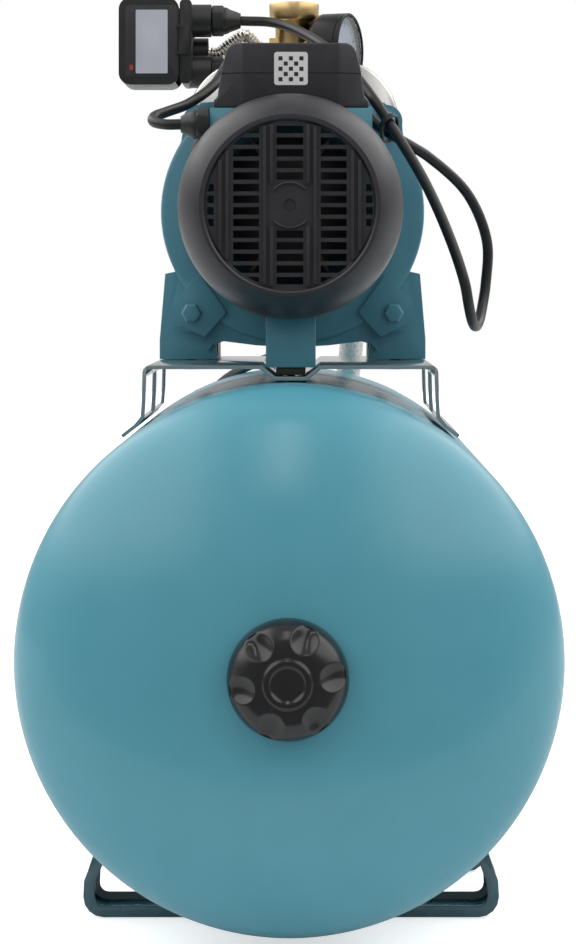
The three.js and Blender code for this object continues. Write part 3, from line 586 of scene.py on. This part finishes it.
def tank():
    outer = [(r, -y) for r, y in dome(TANK_R, DOME_DEPTH, 6.8)]
    inner = [(r, -y) for r, y in dome(TANK_R - 2, DOME_DEPTH - 2, 6.8)]
    lap = [(TANK_R, SEAM_Y - 6), (TANK_R - 0.2, SEAM_Y - 1.6), (TANK_R - 1.4, SEAM_Y - 0.2),
           (TANK_R - 2, SEAM_Y - 0.2)]
    front = shade(lathe("tank_front", outer + lap + inner[::-1], ALONG, ON_TANK, 192), 50)
    place(front, TANK_PAINT, "tank_paint", "set", ["tank_front_shell"])
    outer = [(r, TANK_LENGTH + y) for r, y in dome(TANK_R, DOME_DEPTH, 51)]
    inner = [(r, TANK_LENGTH + y) for r, y in dome(TANK_R - 2, DOME_DEPTH - 2, 48)]
    neck = [(48, 486), (75, 486), (76, 485.2), (76, 483.8), (75, 483), (51, 483)]
    lap = [(TANK_R, SEAM_Y + 6), (TANK_R - 0.2, SEAM_Y + 1.6), (TANK_R - 1.4, SEAM_Y + 0.2),
           (TANK_R - 2, SEAM_Y + 0.2)]
    rear = lathe("tank_rear", neck + outer + lap + inner[::-1], ALONG, ON_TANK, 192)
    place(shade(rear, 50), TANK_PAINT, "tank_paint", "set", ["tank_rear_shell"])


def dimple(distance, radius, depth):
    """Depth of a round dimple at a distance from its middle."""
    share = distance / radius
    return depth * (1 - share * share) ** 1.1 if share < 1 else 0.0


def valve_cap():
    """Moulded cap with six finger dimples around a raised middle."""
    profile = [(CAP_R, -78.9)]
    for i in range(55):
        turn = math.radians(90 * i / 54)
        profile.append((16 + (CAP_R - 16) * math.cos(turn) ** 0.8, -80.5 - 22.6 * math.sin(turn) ** 0.8))
    profile += [(15.6, -103.6), (15, -104.6), (14.2, -105), (12, -105), (11.2, -104.6),
                (10.6, -103.6), (9, -103.3), (0, -103.2), (0, -99.6), (8.4, -99.6), (8.4, -88),
                (11.5, -88), (11.5, -97), (29, -94), (35.6, -84), (35.6, -78.9)]
    cap = lathe("air_valve_cap_shell", profile, ALONG, ON_TANK, 240)
    for vertex in cap.data.vertices:
        x, y, z = (vertex.co / MM)[:]
        y += MIDDLE_Y
        z -= TANK_Z
        if y > -92.5 or math.hypot(x, z) < 16:
            continue
        for i in range(DIMPLES):
            angle = math.radians(8 + 360 / DIMPLES * i)
            away = math.hypot(x - DIMPLE_AT * math.cos(angle), z - DIMPLE_AT * math.sin(angle))
            vertex.co.y += dimple(away, DIMPLE_R, 5.2) * MM
    shade(cap, 60)
    place(cap, CAP_PLASTIC, "cap_plastic", "cap", ["air_valve_cap"])
    stem = lathe("air_valve_thread", [(2.4, -74.4), (13, -74.4), (13, -76.4), (6.4, -76.4),
                 (6.4, -80.9), (12, -80.9), (12, -85), (8, -85), (8, -97.4), (7.4, -98),
                 (2.4, -98)], ALONG, ON_TANK, 48)
    place(shade(stem, 30), BRASS, "brass", "set", ["air_valve_stem"])


def water_end():
    """Flange, its bolts and the elbow with its two nuts."""
    flange = lathe("rear_flange_plate", [
        (14, 488.6), (75.2, 488.6), (76, 489.4), (76, 490.8), (75.2, 491.6), (64, 491.6),
        (60, 492.4), (30, 492.4), (26, 491.8), (22.6, 492.4), (20, 495), (20, 504), (19, 505),
        (14, 505)], ALONG, ON_TANK, 128)
    place(shade(flange, 40), ZINC, "zinc_steel", "set", ["rear_flange"])
    for i in range(6):
        rounded_copy(f"flange_bolt_{i + 1}", 0.4, ZINC, "zinc_steel")
    upright = (0, 524, TANK_Z)
    elbow = lathe("tank_elbow_body", [(9, 496), (13.7, 496), (13.7, 505.6), (15, 513),
                  (15, 534), (14, 537.2), (12, 538), (0, 538), (0, 524), (9, 524)],
                  ALONG, ON_TANK, 64)
    riser = lathe("riser", [(9, 2), (14.5, 2), (14.5, 16), (13.4, 17), (13.4, 25), (9, 25)],
                  UP, upright, 64)
    combine(elbow, [riser], "UNION")
    nuts = joined("tank_elbow_nuts", [
        rod("nut", 19, 505.8, 514, ALONG, ON_TANK, 6),
        rod("nut", 17, 16.4, 26, UP, upright, 6)])
    soften(elbow, 0.4)
    soften(nuts, 0.8)
    place(elbow, BRASS, "brass", "set", ["tank_elbow"])
    place(nuts, NICKEL, "nickel")


HOSE_ROUTE = [(0, 342.6, PORT_Z), (0, 362, PORT_Z), (10, 398, 610), (30, 427, 580),
              (46, 440, 530), (50, 441, 470), (47, 438, 410), (44, 446, 372), (36, 474, 330),
              (18, 505, 286), (2, 523, 250), (0, 524, TANK_Z + 27.5)]


def hose():
    def radius(distance, length):
        near = min(distance, length - distance)
        return 10.5 if near < 17 else 10.5 - 0.9 * min((near - 17) / 3, 1)

    points = [P(*p) for p in HOSE_ROUTE]
    line, length = line_along(points, 400)
    pipe = tube("hose", points, radius, 400, 40)
    place(pipe, BRAID, "steel_braid", "set", ["braided_hose"])
    ferrules = []
    for start, end in ((0, 16), (length / MM - 16, length / MM)):
        first = round(400 * start * MM / length)
        last = round(400 * end * MM / length)
        chosen = [line[k] for k in range(first, last + 1, 4)]
        ferrules.append(tube("ferrule", chosen, lambda d, whole: 10.9 - 0.5 * (4 < d < 7)
                             - 0.5 * (9.5 < d < 12.5), 40, 40))
    place(joined("hose_ferrules", ferrules), NICKEL, "nickel")


# ---------------------------------------------------------------- motor
ON_SHAFT = (0, 0, SHAFT_Z)


def fan_cover():
    """Ribbed grille in a deep ring; the slots are clipped to the round grille."""
    ring = lathe("fan_cover_ring", [
        (76.5, 79.7), (76.5, 66), (76.2, 58), (75, 50), (72.8, 43), (69.4, 36), (66, 31),
        (63, 27.6), (60.4, 25.7), (58.4, 25.5), (57.2, 26.4), (56.6, 28.2), (55.8, 29),
        (0, 29), (0, 31.4), (58, 31.4), (66.5, 40), (72.6, 51), (74.2, 66), (74.2, 79.7)],
        ALONG, ON_SHAFT, 160)
    slots = []
    for x, width in ((-29.1, 17.2), (0, 17.8), (29.1, 17.2), (-52.8, 4.4), (52.8, 4.4)):
        half_count = 7 if abs(x) < 40 else 2
        for row in range(-half_count, half_count):
            z = (row + 0.5) * SLOT_PITCH
            if x == 0 and abs(z) < 15.6:
                continue
            slots.append(bar("slot", (x - width / 2, 20, SHAFT_Z + z - 2.5),
                             (x + width / 2, 40, SHAFT_Z + z + 2.5)))
    slots = joined("slots", slots)
    combine(slots, [rod("clip", GRILLE_R, 10, 50, ALONG, ON_SHAFT, 96)], "INTERSECT")
    combine(ring, [slots, rod("hole", 4.2, 20, 30.6, ALONG, ON_SHAFT, 48)], "DIFFERENCE")
    shade(ring, 30)
    place(ring, GREY_PLASTIC, "grey_plastic", "set", ["fan_cover"])
    ribs = []
    for x in (-46.4, -41.6, -16.8, -12.1, 12.1, 16.8, 41.6, 46.4):
        half = math.sqrt(GRILLE_R ** 2 - x * x) - 0.6
        spans = [(-half, half)] if abs(x) > 14 else [(-half, -14.2), (14.2, half)]
        for low, high in spans:
            ribs.append(bar("rib", (x - 1.1, 26.4, SHAFT_Z + low), (x + 1.1, 29.4, SHAFT_Z + high)))
    arcs = lathe("hub_arcs", [(14.2, 29.4), (14.2, 27.4), (14.8, 26.8), (15.6, 27), (16, 27.6),
                              (16, 29.4)], ALONG, ON_SHAFT, 64)
    combine(arcs, [bar("strip", (-10.6, 20, SHAFT_Z - 20), (10.6, 40, SHAFT_Z + 20))], "INTERSECT")
    ribs.append(arcs)
    ribs = soften(joined("fan_cover_ribs", ribs), 0.7, 3, 40)
    place(ribs, GREY_PLASTIC, "grey_plastic")
    rounded_copy("cooling_fan", 0.4, BLACK_PLASTIC, "black_plastic", "rotor")


def motor_frame():
    """Ribbed aluminium barrel between two end rings, with the pad of the terminal box."""
    outline = []
    fins = 36
    for i in range(fins):
        centre = 360 * i / fins
        outline += [(63.6, centre - 3.4), (63.6, centre - 1.5), (69.7, centre - 0.8),
                    (70, centre), (69.7, centre + 0.8), (63.6, centre + 1.5)]
    outline = [(r * math.cos(math.radians(a)), SHAFT_Z + r * math.sin(math.radians(a)))
               for r, a in outline]
    barrel = prism("motor_barrel", outline, 92, 190)
    others = [
        rod("front_ring", 66, 82, 94, ALONG, ON_SHAFT, 96),
        rod("rear_ring", 66, 188, 199.7, ALONG, ON_SHAFT, 96),
        bar("pad", (-56, 96, SHAFT_Z + 46), (56, 171, SHAFT_Z + 69)),
        bar("lug", (-14, 90, SHAFT_Z - 78), (14, 108, SHAFT_Z - 58)),
    ]
    combine(barrel, others, "UNION")
    combine(barrel, [rod("bore", 57, 93, 210, ALONG, ON_SHAFT, 64),
                     rod("hole", 12, 60, 100, ALONG, ON_SHAFT, 48)], "DIFFERENCE")
    soften(barrel, 0.5)
    place(barrel, CAST_PAINT, "cast_paint", "set", ["motor_frame"])
    screws = []
    for x, z in ((-54, 47), (54, 47), (-54, -47), (54, -47)):
        screws.append(lathe("screw", [(0, 78), (2, 78), (3.4, 79), (3.6, 81), (3.6, 84), (0, 84)],
                            ALONG, (x * 0.92, 0, SHAFT_Z + z * 0.92), 24))
    place(shade(joined("motor_screws", screws)), ZINC, "zinc_steel")


def motor_foot():
    rounded_copy("motor_foot", 0.6, CAST_PAINT, "cast_paint")
    rounded_copy("foot_pad", 0.4, SOFT_RUBBER, "soft_rubber")
    rounded_copy("foot_bolt", 0.5, ZINC, "zinc_steel")


def terminal_box():
    """Moulded box with a lid, a flat middle panel and side panels that fall away from it."""
    z0 = SHAFT_Z + 69.4
    top = SHAFT_Z + 114
    outline = [(-54, z0), (54, z0), (53.6, SHAFT_Z + 75), (51, SHAFT_Z + 77),
               (48, SHAFT_Z + 97), *arc(37, SHAFT_Z + 105.5, 8.5, 20, 80, 4),
               *arc(-37, SHAFT_Z + 105.5, 8.5, 100, 160, 4), (-48, SHAFT_Z + 97),
               (-51, SHAFT_Z + 77), (-53.6, SHAFT_Z + 75)]
    box = prism("terminal_box_shell", outline, 95, 172)
    wedges = []
    for side in (-1, 1):
        bm = bmesh.new()
        plan = [(side * 32, 94), (side * 33, 95), (side * 57, 105), (side * 57, 94)]
        low = [bm.verts.new(P(x, y, z0 - 5)) for x, y in plan]
        high = [bm.verts.new(P(x, y, top + 5)) for x, y in plan]
        bm.faces.new(low)
        bm.faces.new(high[::-1])
        for i in range(4):
            j = (i + 1) % 4
            bm.faces.new((low[i], low[j], high[j], high[i]))
        wedges.append(from_bmesh("wedge", bm))
    groove = bar("groove", (-60, 90, SHAFT_Z + 92.6), (60, 180, SHAFT_Z + 93.2))
    core = prism("core", [(x * 0.965, SHAFT_Z + (z - SHAFT_Z) * 0.985) for x, z in outline],
                 96.2, 170.6)
    combine(core, wedges_copy(wedges, 1.2), "DIFFERENCE")
    combine(groove, [core], "DIFFERENCE")
    combine(box, wedges, "DIFFERENCE")
    soften(box, 1.4, 3, 20)
    combine(box, [groove], "DIFFERENCE")
    shade(box, 30)
    place(box, GREY_PLASTIC, "grey_plastic", "set", ["terminal_box"])
    label = prism("terminal_box_sticker", rounded(-11.6, SHAFT_Z + 84.6, 11.6, SHAFT_Z + 107.4, 2),
                  94.75, 95.2)
    place(shade(label), STICKER, "capacitor_white")
    marks = []
    for row in range(5):
        for column in range(5):
            if (row + column) % 2 == 0:
                x, z = -8.6 + 3.6 * column, SHAFT_Z + 87.2 + 3.6 * row
                marks.append(bar("mark", (x, 94.62, z), (x + 2.8, 94.8, z + 2.8)))
    place(joined("terminal_box_sticker_marks", marks), INK, "black_plastic")


def wedges_copy(wedges, inset):
    """The side wedges again, pushed inwards, for the core under the lid's groove."""
    copies = []
    for wedge in wedges:
        copy = wedge.copy()
        copy.data = wedge.data.copy()
        copy.location.y = inset * MM
        scene.collection.objects.link(copy)
        copies.append(copy)
    bpy.context.view_layer.update()
    return copies


# ---------------------------------------------------------------- bracket and pump
CORNERS = [(CORNER_X, SHAFT_Z + 66), (-CORNER_X, SHAFT_Z + 66),
           (-LOW_CORNER, SHAFT_Z - LOW_CORNER), (LOW_CORNER, SHAFT_Z - LOW_CORNER)]


def ray(radius, degrees):
    a = math.radians(degrees)
    return (radius * math.cos(a), SHAFT_Z + radius * math.sin(a))


def bracket():
    """Cast motor bracket: round plate, four ears, two feet and the web between them."""
    floor = PLATE_Z + 0.3
    plate = lathe("motor_bracket_casting", [(20, 200), (93, 200), (95.4, 201.2), (96, 204),
                  (96, 225), (20, 225)], ALONG, ON_SHAFT, 144)
    parts = []
    for i, (x, z) in enumerate(CORNERS):
        upper = z > SHAFT_Z
        parts.append(rod("ear", 12 if upper else 14, 200, 225, ALONG, (x, 0, z), 48))
        angle = 45 + 90 * i
        reach = 104 if upper else 115
        parts.append(prism("corner", [ray(64, angle - 24), ray(92, angle - 17),
                                      ray(reach, angle - 5), ray(reach, angle + 5),
                                      ray(92, angle + 17), ray(64, angle + 24)], 202.2, 224))
    for side in (-1, 1):
        leg = [(55, floor), (97, floor), (97, floor + 14), (93, SHAFT_Z - 45),
               (70, SHAFT_Z - 40), (60, floor + 24), (56.4, floor + 12)]
        parts.append(prism("leg", [(side * x, z) for x, z in leg][::side], 206, 225))
        low, high = sorted((side * 55, side * 97))
        parts.append(bar("toe", (low, 223, floor), (high, 275, floor + 12)))
        parts.append(prism("web", [(side * 92, floor + 8), (side * 96.6, floor + 8),
                                   (side * 95, floor + 44), (side * 92, floor + 50)][::side],
                           220, 262))
        boss = [(48, SHAFT_Z - 73), (64, SHAFT_Z - 91), (82, SHAFT_Z - 82), (88, SHAFT_Z - 67),
                (67, SHAFT_Z - 46)]
        parts.append(prism("boss", [(side * x, z) for x, z in boss][::side], 197.4, 206))
    web = [(-62, SHAFT_Z - 60), (-62, floor + 6), (-57.5, floor + 11), (-50, floor + 13),
           (-26, floor + 10), (0, floor + 8.6), (26, floor + 10), (50, floor + 13),
           (57.5, floor + 11), (62, floor + 6), (62, SHAFT_Z - 60)]
    parts.append(prism("web", web, 203, 224))
    combine(plate, parts, "UNION")
    holes = [rod("hole", 4.4, floor - 1, floor + 14, UP, (side * 76, 252, 0), 32)
             for side in (-1, 1)]
    combine(plate, holes, "DIFFERENCE")
    soften(plate, 1.0, 3, 28)
    place(plate, CAST_PAINT, "cast_paint", "set", ["motor_bracket"])
    for i, (x, z) in enumerate(CORNERS):
        bolt = lathe(f"bracket_bolt_{i + 1}_head", [(0, 194), (6, 194), (7.4, 195), (7.4, 199.7),
                     (4, 199.7), (4, 244), (0, 244)], ALONG, (x, 0, z), 6, math.radians(30))
        flange = rod("washer", 8.6, 199, 200.4, ALONG, (x, 0, z), 32)
        bolt = soften(joined(f"bracket_bolt_{i + 1}_skin", [bolt, flange]), 0.5)
        place(bolt, CAST_PAINT, "cast_paint", "set", [f"bracket_bolt_{i + 1}"])
    rounded_copy("platform_bolt_1", 0.5, ZINC, "zinc_steel")
    rounded_copy("platform_bolt_2", 0.5, ZINC, "zinc_steel")


def casing_outline(body, x, z, shoulder):
    """A round bottom with two shoulders, as points (x, z)."""
    lean = math.atan2(z, x)
    touch = math.degrees(lean - math.acos((body - shoulder) / math.hypot(x, z)))
    return (arc(x, SHAFT_Z + z, shoulder, touch, 90, 14)
            + arc(-x, SHAFT_Z + z, shoulder, 90, 180 - touch, 14)
            + arc(0, SHAFT_Z, body, 180 - touch, 360 + touch, 56))


def layered(name, rings):
    """A closed solid through outlines with the same number of points, at growing y."""
    bm = bmesh.new()
    loops = [[bm.verts.new(P(x, y, z)) for x, z in outline] for outline, y in rings]
    count = len(loops[0])
    for first, second in zip(loops, loops[1:]):
        for i in range(count):
            j = (i + 1) % count
            bm.faces.new((first[i], first[j], second[j], second[i]))
    bm.faces.new(loops[0])
    bm.faces.new(loops[-1][::-1])
    return from_bmesh(name, bm)


def casing():
    """Deep drawn stainless casing with a rolled rim."""
    rim = [(casing_outline(93 - inset, 32, 67, 46 - inset), y) for inset, y in (
        (2.2, 225.3), (0.6, 226.2), (0, 228), (0, 237), (0.6, 239), (2.2, 240), (5.5, 240.6),
        (7.4, 243))]
    barrel = [(casing_outline(85 - inset, 28, 62, 35 - inset), y) for inset, y in (
        (0.2, 243.2), (0.2, 300), (0.9, 302), (0.9, 308), (0.2, 310), (0, 371), (0.6, 374.6),
        (2.3, 378.6), (5, 381.8), (8.6, 384.1), (13, 385))]
    body = layered("pump_casing_shell", barrel)
    combine(body, [layered("rim", rim)], "UNION")
    bosses = [
        lathe("suction", [(0, 382), (25.4, 382), (24, 386), (24, 400.8), (22.8, 402), (0, 402)],
              ALONG, (0, 0, SHAFT_Z + 47), 64),
        rod("top_boss", 20, 585, 592, UP, (0, FITTING_Y, 0), 64),
        rod("plug_boss", 13, 585, 591, UP, (0, 270, 0), 48),
        rod("drain_boss", 11, 382, 388, ALONG, (0, 0, SHAFT_Z - 60), 48),
    ]
    combine(body, bosses, "UNION")
    combine(body, [
        rod("bore", 15.2, 379, 410, ALONG, (0, 0, SHAFT_Z + 47), 64),
        rod("bore", 14.6, 580, 600, UP, (0, FITTING_Y, 0), 48),
        rod("bore", 8.3, 580, 600, UP, (0, 270, 0), 48),
        rod("bore", 6.3, 379, 395, ALONG, (0, 0, SHAFT_Z - 60), 48),
        *[rod("relief", 9.4, 240.2, 262, ALONG, (x, 0, z), 32) for x, z in CORNERS[2:]],
    ], "DIFFERENCE")
    shade(body, 34)
    place(body, STAINLESS, "stainless", "set", ["pump_casing"])
    rounded_copy("priming_plug", 0.5, BRASS, "brass", "priming_plug")
    rounded_copy("drain_plug", 0.5, BRASS, "brass", "drain_plug")


# ---------------------------------------------------------------- fitting, gauge and switch
GAUGE_AXIS = (math.cos(GAUGE_TURN), math.sin(GAUGE_TURN), 0)


def fitting():
    """Turned and cast brass five-way fitting with a socket at the top."""
    seat = SHAFT_Z + 101.3
    body = lathe("five_way_body", [
        (9.5, seat - 12), (14.2, seat - 12), (14.2, seat + 8), (14.4, seat + 9), (14.4, 636),
        (14.9, 637.6), (16, 639), (17.6, 640.4), (18.7, 642.4), (18.9, 646), (19.3, 653.6),
        (18.6, 654.9), (15.8, 655), (15.2, 654.2), (15.2, 639.5), (9.5, 639.5)],
        UP, (0, FITTING_Y, 0), 96)
    port = (0, FITTING_Y, PORT_Z)
    ports = [
        rod("port", 10.5, 10, 19.7, GAUGE_AXIS, port, 48),
        rod("port", 10.5, 10, 19, (-1, 0, 0), port, 48),
        rod("port", 11, 10, 22, ALONG, port, 48),
        rod("nut", 19, seat, seat + 9, UP, (0, FITTING_Y, 0), 6),
    ]
    combine(body, ports, "UNION")
    combine(body, [rod("bore", 9.5, 570, 641, UP, (0, FITTING_Y, 0), 48),
                   rod("port_bore", 8, 5, 40, ALONG, port, 48)], "DIFFERENCE")
    soften(body, 0.5, 2, 32)
    place(body, BRASS, "brass", "set", ["five_way_fitting"])


def gauge():
    centre = (0, FITTING_Y, PORT_Z)
    case = lathe("gauge_drum", [
        (2.6, 12), (5, 12), (5, 19), (8, 20), (22, 20), (25.4, 20.8), (27.2, 22.8), (28, 26),
        (28, 42.6), (27.4, 43), (27.4, 43.6), (28, 44), (28, 46.2), (27.2, 47), (25.9, 47),
        (25.4, 46.2), (25.4, 23), (2.6, 23)], GAUGE_AXIS, centre, 96)
    place(shade(case, 30), GAUGE_BLACK, "gauge_black", "set", ["gauge_case"])
    dial = lathe("gauge_face", [(1.3, 40), (25.1, 40), (25.1, 41), (1.3, 41)], GAUGE_AXIS, centre,
                 64)
    place(shade(dial), DIAL_WHITE, "dial_white", "set", ["gauge_dial"])
    axis = Vector(GAUGE_AXIS)
    side = axis.cross(Vector((0, 0, 1)))
    bm = bmesh.new()
    middle = P(*centre) + axis * 41.12 * MM
    for i in range(41):
        angle = math.radians(225 - 270 * i / 40)
        out = side * -math.cos(angle) + Vector((0, 0, math.sin(angle)))
        across = axis.cross(out) * (0.45 if i % 10 == 0 else 0.22)
        inner = 17.5 if i % 10 == 0 else 20
        corners = [bm.verts.new(middle + (out * r + across * k) * MM)
                   for r, k in ((inner, -1), (22.6, -1), (22.6, 1), (inner, 1))]
        bm.faces.new(corners)
    place(new_piece("gauge_marks", bm), INK, "black_plastic")
    rounded_copy("gauge_needle", 0.15, RED, "needle_red", "needle")
    lens = lathe("gauge_window", [(0, 44.6), (25.1, 44.6), (25.1, 45.8), (0, 45.8)], GAUGE_AXIS,
                 centre, 64)
    place(shade(lens), GLASS, "gauge_glass", "set", ["gauge_lens"])


def gland_piece(name, centre, direction, body, slot_name, nose, nodes=()):
    """Cable gland: hexagon nut, domed cap and the rubber lip around the cable."""
    axis = (direction, 0, 0)
    nut = lathe(name + "_nut", [(4.4, 0), (11.2, 0), (12, 0.8), (12, 8.4), (11.2, 9.2), (4.4, 9.2)],
                axis, centre, 6)
    dome_part = lathe(name + "_dome", [(4.2, 8), (10.4, 8), (10.4, 10), (9.9, 12), (8.7, 13.8),
                      (6.8, 13 + nose * 0.7), (5.6, 13 + nose), (4.2, 13 + nose)], axis, centre, 64)
    soften(nut, 0.7, 2)
    shade(dome_part, 40)
    piece = joined(name, [nut, dome_part])
    return place(piece, BLACK_PLASTIC, slot_name, body, nodes)


def pressure_switch():
    """Rounded cover with a label and a latch, and a base with two cable bosses."""
    shell = prism("switch_cover_shell", rounded(-132, 589, -86.4, 655, 9, 8), 272, 330)
    combine(shell, [prism("inside", rounded(-129.6, 591.4, -80, 652.6, 7), 274.6, 327.4)],
            "DIFFERENCE")
    soften(shell, 2.6, 5, 50)
    place(shell, BLACK_PLASTIC, "black_plastic", "switch_cover", ["switch_cover"])
    panel = prism("switch_panel", rounded(-127, 594.5, -87.5, 649, 3), 271.7, 273)
    place(soften(panel, 0.3), GREY_PLASTIC, "black_plastic", "switch_cover")
    label = prism("switch_label", rounded(-119, 597.5, -95, 645.5, 0.8), 271.5, 272)
    place(shade(label), LABEL, "dial_white", "switch_cover")
    patch = bar("switch_patch", (-123.8, 271.56, 600), (-121, 272, 604))
    place(patch, RED, "needle_red", "switch_cover")
    base = prism("switch_base_plate", rounded(-86, 590, -77, 654, 4), 273.5, 328.5)
    parts = [
        rod("boss", 12.5, 0, 17, (1, 0, 0), (-80, 300, 639.8), 64),
        rod("boss", 12.5, 0, 17, (1, 0, 0), (-80, 300, 600.8), 64),
        rod("boss", 10, 0, 14, (1, 0, 0), (-80, 316, PORT_Z), 48),
        bar("latch", (-88, 270.6, 612), (-79, 276, 634)),
    ]
    combine(base, parts, "UNION")
    combine(base, [bar("slit", (-88.6, 262, 614), (-86.4, 274, 632))], "DIFFERENCE")
    soften(base, 0.8, 2)
    place(base, BLACK_PLASTIC, "black_plastic", "set", ["switch_base"])
    gland_piece("supply_gland_cap", (-62.7, 300, 639.8), 1, "set", "black_plastic", 9,
                ["supply_gland"])
    gland_piece("lead_gland_cap", (-63.3, 300, 600.8), 1, "set", "black_plastic", 7)
    gland_piece("motor_gland_cap", (-56.3, 103, SHAFT_Z + 58), -1, "set", "black_plastic", 7,
                ["motor_gland"])

    def ribbed(distance, _length):
        return 5.0 + 0.5 * math.cos(2 * math.pi * distance / 2.6)

    nipple = tube("switch_nipple_ribbed", [P(*p) for p in (
        (-65.6, 316, PORT_Z - 2), (-58, 316, PORT_Z - 2), (-48, 317, PORT_Z + 6),
        (-38, 318.5, PORT_Z + 12), (-29, 320, PORT_Z + 4), (-20.4, 320, PORT_Z))], ribbed, 260, 24)
    place(nipple, NICKEL, "nickel", "set", ["switch_nipple"])


LEAD_ROUTE = [(-76.6, 103, 549), (-87, 103.5, 549), (-95, 110, 551), (-96, 124, 555.5),
              (-88, 140, 560), (-73, 165, 568), (-56, 190, 583.5), (-45, 216, 604.5),
              (-33, 240, 612), (-22, 262, 610), (-19, 282, 603.5), (-28, 297, 601),
              (-42.4, 300, 600.8)]


def motor_lead():
    lead = cable("motor_lead_cable", [P(*p) for p in LEAD_ROUTE], CORD_D)
    place(lead, RUBBER, "cable_rubber", "set", ["motor_lead"])


def stand():
    for name in ("front_foot", "rear_foot"):
        rounded_copy(name, 0.5, FOOT_PAINT, "foot_paint")
    rounded_copy("pump_platform", 0.6, SHEET_PAINT, "platform_paint")


# ---------------------------------------------------------------- the pieces inside
def inner_pieces():
    paints = {
        "stator": COPPER, "rotor_shaft": MACHINED, "rotor_core": MACHINED,
        "rear_bearing": MACHINED, "front_bearing": MACHINED, "mechanical_seal": MACHINED,
        "capacitor": WHITE_PLASTIC, "membrane_bladder": SOFT_RUBBER, "casing_seal": SOFT_RUBBER,
        "impeller": BRASS, "diffuser": BLACK_PLASTIC, "air_valve_pin": BRASS,
    }
    for node, material in paints.items():
        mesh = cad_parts[node].data
        mesh.materials.clear()
        mesh.materials.append(material)


# ---------------------------------------------------------------- light and floor
def area_light(name, location, target, size, power, size_y=None):
    data = bpy.data.lights.new(name, "AREA")
    data.shape = "RECTANGLE"
    data.size = size
    data.size_y = size_y or size
    data.energy = power
    data.color = WARM
    light = bpy.data.objects.new(name, data)
    scene.collection.objects.link(light)
    light.location = location
    direction = Vector(target) - Vector(location)
    light.rotation_euler = direction.to_track_quat("-Z", "Y").to_euler()


def room(world):
    """A white room seen by the camera; it is dark behind the camera and bright at both sides."""
    world.use_nodes = True
    tree = world.node_tree
    tree.nodes["Background"].inputs["Color"].default_value = (1, 1, 1, 1)
    tree.nodes["Background"].inputs["Strength"].default_value = 1.0

    def ramp(source, low, high, to_low, to_high):
        made = add_node(tree, "ShaderNodeMapRange", ("Value", source), ("From Min", low),
                        ("From Max", high), ("To Min", to_low), ("To Max", to_high),
                        interpolation_type="SMOOTHSTEP")
        return made.outputs["Result"]

    direction = add_node(tree, "ShaderNodeTexCoord").outputs["Generated"]
    split = add_node(tree, "ShaderNodeSeparateXYZ", ("Vector", direction))
    aside = operate(tree, "ABSOLUTE", split.outputs["X"])
    boxes = operate(tree, "MULTIPLY", ramp(aside, 0.27, 0.45, 0, 1),
                    ramp(split.outputs["Z"], 0.2, 0.4, 0, SIDE_BOXES))
    plain = ramp(split.outputs["Y"], -0.9, 0.2, ROOM_FRONT, ROOM_BACK)
    lit = add_node(tree, "ShaderNodeBackground", ("Strength", operate(tree, "ADD", plain, boxes)))
    path = add_node(tree, "ShaderNodeLightPath")
    mix = add_node(tree, "ShaderNodeMixShader", (0, path.outputs["Is Camera Ray"]),
                   (1, lit.outputs[0]), (2, tree.nodes["Background"].outputs[0]))
    tree.links.new(mix.outputs[0], tree.nodes["World Output"].inputs["Surface"])


def floor_material():
    """Matt white; the camera sees it nearly as bright as the room behind it."""
    material, node = shader("floor_white", (0.8, 0.8, 0.8), 0.9)
    tree = material.node_tree
    path = add_node(tree, "ShaderNodeLightPath")
    glow = operate(tree, "MULTIPLY", path.outputs["Is Camera Ray"], FLOOR_GLOW)
    node.inputs["Emission Color"].default_value = (1, 1, 1, 1)
    tree.links.new(glow, node.inputs["Emission Strength"])
    return material


def studio():
    world = bpy.data.worlds.new("studio")
    scene.world = world
    room(world)
    scene.view_settings.view_transform = "Standard"
    bm = bmesh.new()
    corners = [bm.verts.new((x, y, -0.0005)) for x, y in ((-6, -0.5), (6, -0.5), (6, 9), (-6, 9))]
    bm.faces.new(corners)
    floor = from_bmesh("floor", bm)
    floor.data.materials.append(floor_material())
    area_light("strip_lamp", (-0.06, -1.5, 2.3), (0, 0, 0.45), 0.3, LAMP, 1.6)


tank()
valve_cap()
water_end()
hose()
fan_cover()
motor_frame()
motor_foot()
terminal_box()
bracket()
casing()
fitting()
gauge()
pressure_switch()
motor_lead()
stand()
inner_pieces()
studio()

bpy.context.view_layer.update()
